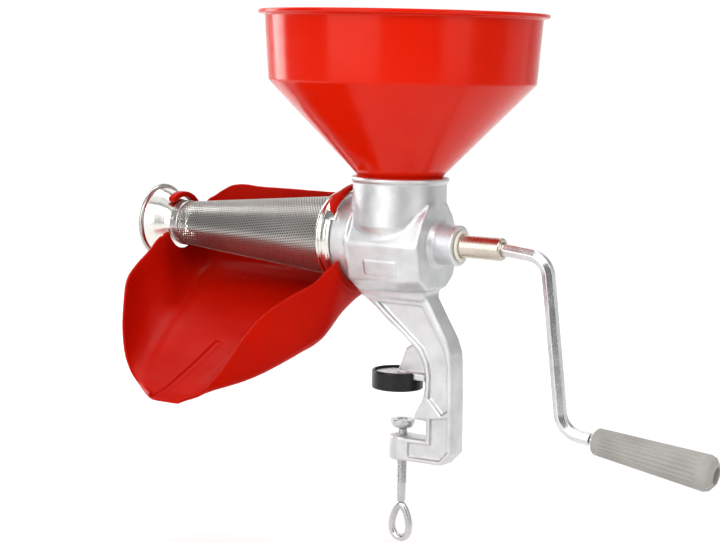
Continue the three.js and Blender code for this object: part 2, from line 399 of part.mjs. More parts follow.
// rim, upper wall, wall above the fillet, fillet, floor ... and the same again on the right
function traySection(s) {
  const wallL = lerp(s.L, s.l, 0.5), wallR = lerp(s.R, s.r, 0.5);
  const k = 0.78;
  wallL[0] += (s.L[0] - s.l[0]) * 0.22; wallR[0] += (s.R[0] - s.r[0]) * 0.22;
  const lowL = lerp(s.L, s.l, k), lowR = lerp(s.R, s.r, k);
  lowL[0] += (s.L[0] - s.l[0]) * 0.2; lowR[0] += (s.R[0] - s.r[0]) * 0.2;
  return [s.L, wallL, lowL, s.l, ...s.c, s.r, lowR, wallR, s.R];
}
function shell(grid, thickness) {
  const rows = grid.length, cols = grid[0].length;
  const at = (i, j) => V3(...grid[Math.max(0, Math.min(rows - 1, i))][Math.max(0, Math.min(cols - 1, j))]);
  const inner = [], outer = [];
  for (let i = 0; i < rows; i++) for (let j = 0; j < cols; j++) {
    const n = at(i + 1, j).sub(at(i - 1, j)).cross(at(i, j + 1).sub(at(i, j - 1))).normalize();
    inner.push(at(i, j));
    outer.push(at(i, j).addScaledVector(n, -thickness));
  }
  const id = (i, j) => i * cols + j, n = rows * cols, index = [];
  const quad = (a, b, c, d) => index.push(a, b, c, a, c, d);
  for (let i = 0; i < rows - 1; i++) for (let j = 0; j < cols - 1; j++) {
    quad(id(i, j), id(i + 1, j), id(i + 1, j + 1), id(i, j + 1));
    quad(n + id(i, j), n + id(i, j + 1), n + id(i + 1, j + 1), n + id(i + 1, j));
  }
  for (let j = 0; j < cols - 1; j++) { quad(id(0, j), id(0, j + 1), n + id(0, j + 1), n + id(0, j)); quad(id(rows - 1, j + 1), id(rows - 1, j), n + id(rows - 1, j), n + id(rows - 1, j + 1)); }
  for (let i = 0; i < rows - 1; i++) { quad(id(i + 1, 0), id(i, 0), n + id(i, 0), n + id(i + 1, 0)); quad(id(i, cols - 1), id(i + 1, cols - 1), n + id(i + 1, cols - 1), n + id(i, cols - 1)); }
  const g = new THREE.BufferGeometry();
  g.setAttribute('position', new THREE.Float32BufferAttribute([...inner, ...outer].flatMap((v) => [v.x, v.y, v.z + AXIS_Z]), 3));
  g.setIndex(index);
  return toSolid(g);
}
let tray = shell(TRAY.map(traySection), TRAY_T);
// clips about the two necks, open towards the lip side
const deg = Math.PI / 180;
const arc = (ri, ro, x0, x1, a0, a1, seg) => sectorX(ri, ro, x0, x1, (a0 + a1) / 2 * deg, (a1 - a0) / 2 * deg, seg);
tray = tray.add(arc(20.9, 25.6, -212, -205.4, -60, 126, 14)).add(arc(20.9, 27.4, -208.4, -205.4, -164, -50, 12));
tray = tray.add(arc(38.2, 41.8, -41, -36.4, -30, 133, 14)).add(arc(35.0, 39.6, -37.0, -30.8, 125, 144, 4)).add(arc(37.0, 41.8, -41, -33.6, 125, 133, 3));
tray = tray.add(arc(35.0, 41.4, -36.8, -34.2, -154, 0, 14));
// infill of the end walls between clip and back wall
tray = tray.add(plateYZ(up([[23.5, -10], [31.6, -10], [31.6, 15], [20, 14]]), -208.4, -206).subtract(rodX(20.9, -213, -200, 40)));
tray = tray.add(plateYZ(up([[35, -16], [40.6, -16], [41.6, 27.4], [33.6, 22], [36.8, 0]]), -36.8, -34.2).subtract(rodX(35.0, -38, -30, 48)));
// keep clear of the filter, its outlet, the necks and the leg
tray = tray.subtract(rodX(20.9, -214, -205.3, 40)).subtract(rodX(35.0, -37.4, -28, 48)).subtract(rodX(38.2, -60, -36.8, 48));
tray = tray.subtract(box(-34, 0, -11, 11, AXIS_Z - 60, AXIS_Z - 34));
// shallow channel down the middle of the floor
tray = tray.subtract(sweep(ngon(8, 1.5), [V3(-118, -70, AXIS_Z - 79.2), V3(-118, -92, AXIS_Z - 90.6), V3(-118, -121, AXIS_Z - 102.6), V3(-118, -134, AXIS_Z - 107.8), V3(-118, -147, AXIS_Z - 110.4)]));
piece('drip_tray', tray, 0xc81e06, 0.4, 0);

export default assembly;
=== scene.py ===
"""Looks of a hand-cranked tomato press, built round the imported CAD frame.
Lengths below are millimetres in the part's own frame (origin under the clamp pad); put() turns them into metres."""
import bpy
import math
import numpy as np
from mathutils import Matrix, Vector
from mathutils.bvhtree import BVHTree


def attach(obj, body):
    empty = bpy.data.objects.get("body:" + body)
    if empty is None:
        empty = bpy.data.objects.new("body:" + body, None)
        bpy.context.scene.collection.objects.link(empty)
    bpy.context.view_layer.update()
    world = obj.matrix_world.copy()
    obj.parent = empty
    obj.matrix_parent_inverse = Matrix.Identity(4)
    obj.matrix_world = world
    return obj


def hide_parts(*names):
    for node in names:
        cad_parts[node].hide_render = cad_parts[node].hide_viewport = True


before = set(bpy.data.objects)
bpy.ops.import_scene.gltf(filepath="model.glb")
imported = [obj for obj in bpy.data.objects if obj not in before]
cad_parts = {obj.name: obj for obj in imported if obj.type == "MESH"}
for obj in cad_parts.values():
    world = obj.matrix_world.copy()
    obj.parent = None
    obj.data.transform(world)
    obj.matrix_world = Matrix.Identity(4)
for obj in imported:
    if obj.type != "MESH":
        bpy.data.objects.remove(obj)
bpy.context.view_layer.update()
AX = 114.0                       # barrel axis above the table top
rad = math.radians
rng = np.random.default_rng(7)


# ------------------------------------------------------------------ mesh helpers
def put(name, verts, faces, body, mat, slot, nodes=(), smooth=38, weighted=False, bevel=0.0):
    """Makes the piece from millimetre points, turns its faces outwards and hangs it on its body."""
    me = bpy.data.meshes.new(name)
    v = np.asarray(verts, float) * 0.001
    me.vertices.add(len(v))
    me.vertices.foreach_set("co", v.astype(np.float32).ravel())
    if isinstance(faces, np.ndarray):
        n = faces.shape[1]
        me.loops.add(faces.size)
        me.loops.foreach_set("vertex_index", faces.astype(np.int32).ravel())
        me.polygons.add(len(faces))
        me.polygons.foreach_set("loop_start", np.arange(0, faces.size, n, dtype=np.int32))
    else:
        counts = np.array([len(f) for f in faces], np.int32)
        flat = np.array([i for f in faces for i in f], np.int32)
        me.loops.add(len(flat))
        me.loops.foreach_set("vertex_index", flat)
        me.polygons.add(len(faces))
        me.polygons.foreach_set("loop_start", np.concatenate([[0], np.cumsum(counts)[:-1]]).astype(np.int32))
    me.update(calc_edges=True)
    me.validate()
    me.calc_loop_triangles()
    t = np.zeros(len(me.loop_triangles) * 3, np.int32)
    me.loop_triangles.foreach_get("vertices", t)
    t = t.reshape(-1, 3)
    co = v[t]
    if np.einsum("ij,ij->i", co[:, 0], np.cross(co[:, 1], co[:, 2])).sum() < 0:
        me.flip_normals()
    me.polygons.foreach_set("use_smooth", np.ones(len(me.polygons), bool))
    if smooth < 180:
        me.set_sharp_from_angle(angle=rad(smooth))
    o = bpy.data.objects.new(name, me)
    bpy.context.scene.collection.objects.link(o)
    me.materials.append(mat)
    if bevel:
        m = o.modifiers.new("edge", "BEVEL")
        m.width, m.segments, m.limit_method, m.angle_limit = bevel * .001, 2, "ANGLE", rad(35)
    if weighted or bevel:
        m = o.modifiers.new("normals", "WEIGHTED_NORMAL")
        m.keep_sharp = True
    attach(o, body)
    if nodes:
        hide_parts(*nodes)
    return o


def ease(rows, r=0.6, n=4, special=None, closed=True):
    """Rounds the corners of a profile. special maps a row number to its own radius."""
    pts = [np.array(p, float) for p in rows]
    if closed and np.allclose(pts[0], pts[-1]):
        pts = pts[:-1]
    out, m = [], len(pts)
    for i, p in enumerate(pts):
        if not closed and i in (0, m - 1):
            out.append(p)
            continue
        a, b = pts[i - 1] - p, pts[(i + 1) % m] - p
        la, lb = np.linalg.norm(a), np.linalg.norm(b)
        a, b = a / la, b / lb
        c = float(np.clip(a @ b, -1, 1))
        turn = math.pi - math.acos(c)
        rr = (special or {}).get(i, r)
        if turn < rad(4) or rr <= 0:
            out.append(p)
            continue
        cut = min(rr * math.tan(turn / 2), 0.47 * la, 0.47 * lb)
        k = max(2, int(math.ceil(n * turn / (math.pi / 2))) + 1)
        s, e = p + a * cut, p + b * cut
        rr = cut / math.tan(turn / 2)
        bis = (a + b) / np.linalg.norm(a + b)
        ctr = p + bis * math.hypot(rr, cut)
        u0, u1 = (s - ctr) / rr, (e - ctr) / rr
        for q in range(k):
            t = q / (k - 1)
            w = math.sin((1 - t) * turn) / math.sin(turn) * u0 + math.sin(t * turn) / math.sin(turn) * u1
            out.append(ctr + w * rr)
    return out


def rings_mesh(rings, loop=False, cap0=None, cap1=None):
    """Quads between rings of N points. cap0 and cap1 are centre points of fans, or None."""
    R = np.asarray(rings, float)
    M, N, _ = R.shape
    idx = np.arange(M * N).reshape(M, N)
    faces = []
    last = M if loop else M - 1
    for i in range(last):
        a, b = idx[i], idx[(i + 1) % M]
        faces.append(np.stack([a, b, np.roll(b, -1), np.roll(a, -1)], 1))
    faces = [tuple(int(x) for x in f) for f in np.concatenate(faces)]
    v = [R.reshape(-1, 3)]
    n = M * N
    for cap, ring, flip in ((cap0, idx[0], False), (cap1, idx[-1], True)):
        if cap is not None:
            v.append(np.array([cap], float))
            for k in range(N):
                f = (int(ring[k]), int(ring[(k + 1) % N]), n)
                faces.append(f[::-1] if flip else f)
            n += 1
    return np.concatenate(v), faces


def turn_x(rows, seg=128, shape=None, z=AX):
    """Solid of revolution about the barrel axis. rows are [radius, x]; shape(angle, radius, x) may change the radius."""
    a = np.arange(seg) * 2 * math.pi / seg
    rows = [np.array(r, float) for r in rows]
    cap0 = cap1 = None
    if rows[0][0] == 0:
        cap0 = (rows[0][1], 0, z)
        rows = rows[1:]
    if rows[-1][0] == 0:
        cap1 = (rows[-1][1], 0, z)
        rows = rows[:-1]
    rings = []
    for r, x in rows:
        rr = np.full(seg, r) if shape is None else shape(a, r, x)
        rings.append(np.stack([np.full(seg, x), rr * np.cos(a), z + rr * np.sin(a)], 1))
    return rings_mesh(rings, loop=cap0 is None and cap1 is None, cap0=cap0, cap1=cap1)


def turn_z(rows, seg=128, x=0.0, shape=None):
    a = np.arange(seg) * 2 * math.pi / seg
    rows = [np.array(r, float) for r in rows]
    cap0 = cap1 = None
    if rows[0][0] == 0:
        cap0 = (x, 0, rows[0][1])
        rows = rows[1:]
    if rows[-1][0] == 0:
        cap1 = (x, 0, rows[-1][1])
        rows = rows[:-1]
    rings = []
    for r, h in rows:
        rr = np.full(seg, r) if shape is None else shape(a, r, h)
        rings.append(np.stack([x + rr * np.cos(a), rr * np.sin(a), np.full(seg, h)], 1))
    return rings_mesh(rings, loop=cap0 is None and cap1 is None, cap0=cap0, cap1=cap1)


def sweep(path, section, side=None, closed=False, caps=True):
    """section is (u, v) points carried along path; side is the fixed v direction, or None for a turning frame."""
    P = np.asarray(path, float)
    S = np.asarray(section, float)
    T = (np.roll(P, -1, 0) - np.roll(P, 1, 0)) if closed else np.gradient(P, axis=0)
    T /= np.linalg.norm(T, axis=1)[:, None]
    rings = []
    up = np.array([0.0, 0, 1]) if abs(T[0][2]) < .9 else np.array([1.0, 0, 0])
    for p, t in zip(P, T):
        if side is not None:
            v = np.array(side, float)
            u = np.cross(v, t)
        else:
            u = np.cross(up, t)
            u /= np.linalg.norm(u)
            v = np.cross(t, u)
            up = v
        u /= np.linalg.norm(u)
        rings.append(p + S[:, :1] * u + S[:, 1:] * v)
    if closed:
        return rings_mesh(rings, loop=True)
    return rings_mesh(rings, cap0=P[0] if caps else None, cap1=P[-1] if caps else None)


def join(*meshes):
    v, f, n = [], [], 0
    for mv, mf in meshes:
        v.append(np.asarray(mv, float))
        f += [tuple(int(i) + n for i in face) for face in mf]
        n += len(mv)
    return np.concatenate(v), f


def circle(r, n):
    a = np.arange(n) * 2 * math.pi / n
    return np.stack([r * np.cos(a), r * np.sin(a)], 1)


def bent(corners, radii, seg=18):
    C = [np.array(c, float) for c in corners]
    out = [C[0]]
    for i in range(1, len(C) - 1):
        a, b = C[i] - C[i - 1], C[i + 1] - C[i]
        a, b = a / np.linalg.norm(a), b / np.linalg.norm(b)
        turn = math.acos(float(np.clip(a @ b, -1, 1)))
        r = radii[i - 1]
        p0 = C[i] - a * r * math.tan(turn / 2)
        side = b - a * (a @ b)
        side /= np.linalg.norm(side)
        c = p0 + side * r
        for k in range(seg + 1):
            w = turn * k / seg
            out.append(c - side * r * math.cos(w) + a * r * math.sin(w))
    out.append(C[-1])
    return np.array(out)


# ------------------------------------------------------------------ signed distance modelling, for the castings and mouldings
def smin(a, b, k):
    h = np.maximum(k - np.abs(a - b), 0) / k
    return np.minimum(a, b) - h * h * k * 0.25


def smax(a, b, k):
    return -smin(-a, -b, k)


def poly2(points, X, Y):
    """Signed distance to a polygon, negative inside."""
    P = np.asarray(points, float)
    d = np.full(np.broadcast(X, Y).shape, 1e9)
    inside = np.zeros(d.shape, bool)
    for i in range(len(P)):
        a, b = P[i], P[i - 1]
        ex, ey = b[0] - a[0], b[1] - a[1]
        wx, wy = X - a[0], Y - a[1]
        t = np.clip((wx * ex + wy * ey) / (ex * ex + ey * ey), 0, 1)
        d = np.minimum(d, (wx - ex * t) ** 2 + (wy - ey * t) ** 2)
        cross = (a[1] > Y) != (b[1] > Y)
        with np.errstate(divide="ignore", invalid="ignore"):
            xi = ex * (Y - a[1]) / (ey if ey else 1e-12) + a[0]
        inside ^= cross & (X < xi)
    return np.sqrt(d) * np.where(inside, -1, 1)


def surface(F, origin, h):
    """Surface nets: one vertex in each crossed cell, one quad across each crossed grid edge."""
    S = F < 0
    nx, ny, nz = F.shape
    c = np.zeros((nx - 1, ny - 1, nz - 1), np.int8)
    for i in (0, 1):
        for j in (0, 1):
            for k in (0, 1):
                c += S[i:nx - 1 + i, j:ny - 1 + j, k:nz - 1 + k]
    act = np.argwhere((c > 0) & (c < 8))
    ids = np.full(c.shape, -1, np.int64)
    ids[tuple(act.T)] = np.arange(len(act))
    pos = np.zeros((len(act), 3))
    cnt = np.zeros(len(act))
    corners = [(i, j, k) for i in (0, 1) for j in (0, 1) for k in (0, 1)]
    for p in corners:
        for ax in range(3):
            if p[ax]:
                continue
            q = list(p)
            q[ax] = 1
            f0 = F[tuple((act + p).T)]
            f1 = F[tuple((act + q).T)]
            m = (f0 < 0) != (f1 < 0)
            t = np.where(m, f0 / np.where(m, f0 - f1, 1), 0)
            e = np.array(p, float) + np.outer(t, np.array(q) - np.array(p))
            pos[m] += e[m]
            cnt[m] += 1
    pos = (act + pos / cnt[:, None]) * h + np.asarray(origin)
    quads = []
    for ax in range(3):
        lo = [slice(1, None)] * 3
        lo[ax] = slice(0, None)
        a = [slice(1, -1)] * 3
        a[ax] = slice(0, -1)
        b = [slice(1, -1)] * 3
        b[ax] = slice(1, None)
        s0, s1 = S[tuple(a)], S[tuple(b)]
        for sign, m in ((1, s0 & ~s1), (-1, ~s0 & s1)):
            e = np.argwhere(m)
            if not len(e):
                continue
            u, w = [(1, 2), (2, 0), (0, 1)][ax]
            base = e.copy()
            base[:, u] += 1
            base[:, w] += 1
            q = []
            for du, dw in ((0, 0), (-1, 0), (-1, -1), (0, -1)):
                k = base.copy()
                k[:, u] += du
                k[:, w] += dw
                q.append(ids[tuple(k.T)])
            q = np.stack(q, 1)
            quads.append(q if sign > 0 else q[:, ::-1])
    return pos, np.concatenate(quads)


def grid(lo, hi, h):
    ax = [np.arange(a, b + h, h) for a, b in zip(lo, hi)]
    return ax[0][:, None, None], ax[1][None, :, None], ax[2][None, None, :]


# ------------------------------------------------------------------ materials
def material(name):
    m = bpy.data.materials.new(name)
    m.use_nodes = True
    return m, m.node_tree, m.node_tree.nodes["Principled BSDF"]


def node(t, kind, **inputs):
    n = t.nodes.new(kind)
    for k, v in inputs.items():
        n.inputs[k.replace("_", " ")].default_value = v
    return n


def link(t, a, b):
    t.links.new(a, b)


def coords(t, scale=(1, 1, 1), rotation=(0, 0, 0)):
    tc = t.nodes.new("ShaderNodeTexCoord")
    mp = t.nodes.new("ShaderNodeMapping")
    mp.inputs["Scale"].default_value = scale
    mp.inputs["Rotation"].default_value = rotation
    link(t, tc.outputs["Object"], mp.inputs["Vector"])
    return mp.outputs["Vector"]


def noise(t, vec, scale, detail=3.0, rough=0.55):
    n = t.nodes.new("ShaderNodeTexNoise")
    n.inputs["Scale"].default_value = scale
    n.inputs["Detail"].default_value = detail
    n.inputs["Roughness"].default_value = rough
    link(t, vec, n.inputs["Vector"])
    return n.outputs["Fac"]


def ramp(t, fac, stops):
    r = t.nodes.new("ShaderNodeValToRGB")
    cr = r.color_ramp
    while len(cr.elements) < len(stops):
        cr.elements.new(0.5)
    for e, (p, c) in zip(cr.elements, stops):
        e.position = p
        e.color = (*c, 1) if len(c) == 3 else c
    link(t, fac, r.inputs["Fac"])
    return r.outputs["Color"]


def span(t, fac, lo, hi, f0=0.3, f1=0.7):
    r = t.nodes.new("ShaderNodeMapRange")
    r.inputs["From Min"].default_value, r.inputs["From Max"].default_value = f0, f1
    r.inputs["To Min"].default_value, r.inputs["To Max"].default_value = lo, hi
    link(t, fac, r.inputs["Value"])
    return r.outputs["Result"]


def bump(t, height, strength, distance, under=None):
    b = t.nodes.new("ShaderNodeBump")
    b.inputs["Strength"].default_value = strength
    b.inputs["Distance"].default_value = distance
    link(t, height, b.inputs["Height"])
    if under is not None:
        link(t, under, b.inputs["Normal"])
    return b.outputs["Normal"]


def edge_mask(t, lo, hi):
    g = t.nodes.new("ShaderNodeNewGeometry")
    return span(t, g.outputs["Pointiness"], 0, 1, lo, hi)


def mix(t, fac, a, b):
    m = t.nodes.new("ShaderNodeMix")
    m.data_type = "RGBA"
    for sock, val in ((m.inputs[0], fac), (m.inputs[6], a), (m.inputs[7], b)):
        if isinstance(val, (int, float)):
            sock.default_value = val
        elif isinstance(val, tuple):
            sock.default_value = (*val, 1)
        else:
            link(t, val, sock)
    return m.outputs[2]


def cast_aluminium():
    m, t, b = material("cast_aluminium")
    v = coords(t)
    blotch = noise(t, v, 55, 4)
    grain = noise(t, v, 1500, 2.5, 0.6)
    col = ramp(t, blotch, [(0.3, (0.57, 0.578, 0.59)), (0.7, (0.735, 0.74, 0.75))])
    speck = ramp(t, noise(t, v, 2600, 1), [(0.33, (0.72, 0.72, 0.72)), (0.5, (1, 1, 1))])
    mul = t.nodes.new("ShaderNodeMix")
    mul.data_type, mul.blend_type = "RGBA", "MULTIPLY"
    mul.inputs[0].default_value = 0.55
    link(t, col, mul.inputs[6])
    link(t, speck, mul.inputs[7])
    edge = edge_mask(t, 0.515, 0.56)
    col = mix(t, edge, mul.outputs[2], (0.80, 0.80, 0.80))
    link(t, col, b.inputs["Base Color"])
    b.inputs["Metallic"].default_value = 0.82
    link(t, span(t, noise(t, v, 120, 3), 0.31, 0.44), b.inputs["Roughness"])
    n1 = bump(t, noise(t, v, 130, 3), 0.28, 0.0005)
    n2 = bump(t, grain, 0.55, 0.00026, n1)
    link(t, n2, b.inputs["Normal"])
    return m


def plastic(name, dark, light, rough, sss=0.05, orange=420.0, spec=0.32, rim_highlight=(0.72, 0.022, 0.008)):
    m, t, b = material(name)
    v = coords(t)
    flow = noise(t, v, 14, 3)
    col = ramp(t, flow, [(0.3, dark), (0.7, light)])
    # painted highlight: convex rims and edges are mixed towards the lighter rim colour, standing in for highlight and
    # translucent glow
    edge = edge_mask(t, 0.56, 0.66)
    link(t, mix(t, edge, col, rim_highlight), b.inputs["Base Color"])
    link(t, span(t, noise(t, v, 90, 4), rough - 0.05, rough + 0.06), b.inputs["Roughness"])
    n1 = bump(t, noise(t, v, orange, 2), 0.10, 0.00012)
    n2 = bump(t, noise(t, v, 18, 2), 0.10, 0.0012, n1)
    link(t, n2, b.inputs["Normal"])
    b.inputs["Subsurface Weight"].default_value = sss
    b.inputs["Subsurface Radius"].default_value = (0.012, 0.003, 0.002)
    b.inputs["Subsurface Scale"].default_value = 0.25
    b.inputs["Specular IOR Level"].default_value = spec
    b.inputs["Specular Tint"].default_value = (1.0, 0.70, 0.58, 1)
    b.inputs["IOR"].default_value = 1.49
    return m


def metal(name, dark, light, rough, along=None, fine=1400.0, lines=0.18, dist=0.00006, spread=0.06, stain=40.0, aniso=0.0, crease_shade=0.0):
    """Bare or plated metal. along stretches the fine lines: (sx, sy, sz) multiplies the object coordinates."""
    m, t, b = material(name)
    v = coords(t)
    col = ramp(t, noise(t, v, stain, 4), [(0.28, dark), (0.72, light)])
    # painted shade: concave creases are darkened to a fraction of the dark tone
    if crease_shade:
        col = mix(t, edge_mask(t, 0.40, 0.485), tuple(c * crease_shade for c in dark), col)
    link(t, col, b.inputs["Base Color"])
    b.inputs["Metallic"].default_value = 1.0
    sv = coords(t, along or (1, 1, 1))
    ln = noise(t, sv, fine, 3, 0.7)
    r = t.nodes.new("ShaderNodeMath")
    r.operation = "ADD"
    link(t, span(t, ln, rough - spread, rough + spread), r.inputs[0])
    link(t, span(t, noise(t, v, stain * 2.2, 3), -spread * .5, spread * .7), r.inputs[1])
    r.use_clamp = True
    link(t, r.outputs[0], b.inputs["Roughness"])
    link(t, bump(t, ln, lines, dist), b.inputs["Normal"])
    b.inputs["Anisotropic"].default_value = aniso
    return m


def nylon(name="white_nylon", dark=(0.70, 0.665, 0.57), light=(0.83, 0.80, 0.71)):
    m, t, b = material(name)
    v = coords(t)
    link(t, ramp(t, noise(t, v, 60, 3), [(0.3, dark), (0.7, light)]), b.inputs["Base Color"])
    link(t, span(t, noise(t, v, 220, 3), 0.36, 0.5), b.inputs["Roughness"])
    link(t, bump(t, noise(t, v, 900, 2), 0.12, 0.0001), b.inputs["Normal"])
    b.inputs["Subsurface Weight"].default_value = 0.15
    b.inputs["Subsurface Radius"].default_value = (0.01, 0.009, 0.006)
    b.inputs["Subsurface Scale"].default_value = 0.2
    return m


def grip_plastic():
    m, t, b = material("grey_grip")
    v = coords(t)
    col = ramp(t, noise(t, v, 45, 4), [(0.3, (0.315, 0.308, 0.282)), (0.7, (0.395, 0.388, 0.36))])
    link(t, mix(t, edge_mask(t, 0.53, 0.62), col, (0.50, 0.495, 0.47)), b.inputs["Base Color"])
    link(t, span(t, noise(t, v, 160, 3), 0.5, 0.64), b.inputs["Roughness"])
    n1 = bump(t, noise(t, v, 1300, 2), 0.22, 0.00012)
    link(t, n1, b.inputs["Normal"])
    return m


def rubber():
    m, t, b = material("black_rubber")
    v = coords(t)
    link(t, ramp(t, noise(t, v, 50, 4), [(0.3, (0.006, 0.006, 0.0065)), (0.7, (0.014, 0.014, 0.015))]), b.inputs["Base Color"])
    link(t, span(t, noise(t, v, 140, 4), 0.16, 0.32), b.inputs["Roughness"])
    link(t, bump(t, noise(t, v, 700, 2), 0.12, 0.00012), b.inputs["Normal"])
    b.inputs["Specular IOR Level"].default_value = 0.26
    return m


def floor_material():
    m, t, b = material("floor_pale")
    v = coords(t)
    link(t, ramp(t, noise(t, v, 1.3, 2), [(0.3, (0.86, 0.86, 0.855)), (0.7, (0.88, 0.88, 0.875))]), b.inputs["Base Color"])
    b.inputs["Roughness"].default_value = 0.75
    return m


ALU = cast_aluminium()
RED = plastic("red_hopper", (0.60, 0.0085, 0.0004), (0.67, 0.0112, 0.0006), 0.18, sss=0.01, spec=0.25)
# the tray's lighter rim colour is a painted highlight on its convex rims
RED_TRAY = plastic("red_tray", (0.41, 0.0036, 0.0003), (0.49, 0.0058, 0.0004), 0.32, sss=0.01, spec=0.07, rim_highlight=(0.80, 0.055, 0.03))
NYLON = nylon()
GRIP = grip_plastic()
RUBBER = rubber()
# painted shade: a dark copy of the white nylon for the auger, which sits in shadow inside the screen
AUGER_SHADED = nylon("auger_nylon_painted_shade", (0.10, 0.096, 0.09), (0.15, 0.145, 0.135))
TURNED = metal("turned_steel", (0.56, 0.50, 0.43), (0.70, 0.645, 0.57), 0.27, (1, .02, .02), 2600, 0.22, 0.00005)
CHROME = metal("bright_bar", (0.68, 0.685, 0.70), (0.82, 0.82, 0.83), 0.23, None, 900, 0.24, 0.00007, 0.07)
ZINC = metal("zinc_steel", (0.50, 0.505, 0.52), (0.66, 0.665, 0.68), 0.26, None, 1100, 0.2, 0.00006, 0.08)
# the polished steel carries painted shade in its concave creases
POLISHED = metal("polished_steel", (0.74, 0.725, 0.68), (0.86, 0.845, 0.80), 0.19, (1, .015, .015), 3000, 0.16, 0.00003, 0.05, crease_shade=0.16)
PERF = metal("perforated_steel", (0.53, 0.51, 0.485), (0.62, 0.60, 0.57), 0.33, (.05, 1, 1), 1500, 0.14, 0.00003, 0.05, stain=24)
# painted shade: a darker copy of the polished steel for the flare's rolled rim
RIM_SHADED = metal("rolled_rim_painted_shade", (0.40, 0.385, 0.36), (0.54, 0.52, 0.49), 0.24, (1, .02, .02), 2200, 0.2, 0.00004, 0.06)
# painted shade: a darker copy of the polished steel for the outlet band inside the tray; its brushed lines are surface
# texture
BAND_SHADED = metal("brushed_band_painted_shade", (0.46, 0.44, 0.42), (0.58, 0.56, 0.53), 0.36, (1, .03, .03), 1800, 0.3, 0.00006, 0.06)
SPRING = metal("spring_steel", (0.42, 0.42, 0.43), (0.58, 0.58, 0.59), 0.3, None, 1400, 0.2, 0.00005)

# ------------------------------------------------------------------ body casting
LEG = [
    (-29.5, -30), (-32.6, -35.4), (-27.7, -42), (-14, -51.7), (-4.8, -59.8), (7.2, -68.3), (18.5, -77.3), (24.8, -83.4), (29.3, -91.5), (31.2, -101),
    (31.2, -108.4), (30.4, -113.4), (28.4, -120), (24.4, -126.4), (22.3, -130.4), (22.3, -134.9), (32.9, -135.3),
    (32.9, -149.6), (7.7, -150), (7.7, -168.6), (47, -168.2), (55.9, -158.9), (55.4, -119.5), (54.4, -89), (53.6, -81.5), (50.1, -71.9), (40.1, -55.5), (30.5, -39.6), (29.5, -30),
]
UPPER = [(-12, -47.2), (26.6, -47.2), (36.6, -62.5), (46, -77.5), (50.2, -89.5), (51.2, -125.5), (46, -129), (34.6, -117.4), (35.2, -101), (33.2, -90), (27.6, -79.6), (20.4, -73.6), (8.6, -64), (-2, -55.8)]
LOWER = [(36.7, -133.2), (51.6, -130.6), (52.1, -157.4), (45.4, -164.8), (17.6, -165.2), (17.6, -153.6), (36.7, -153.2)]
BAYONET = rad(148)


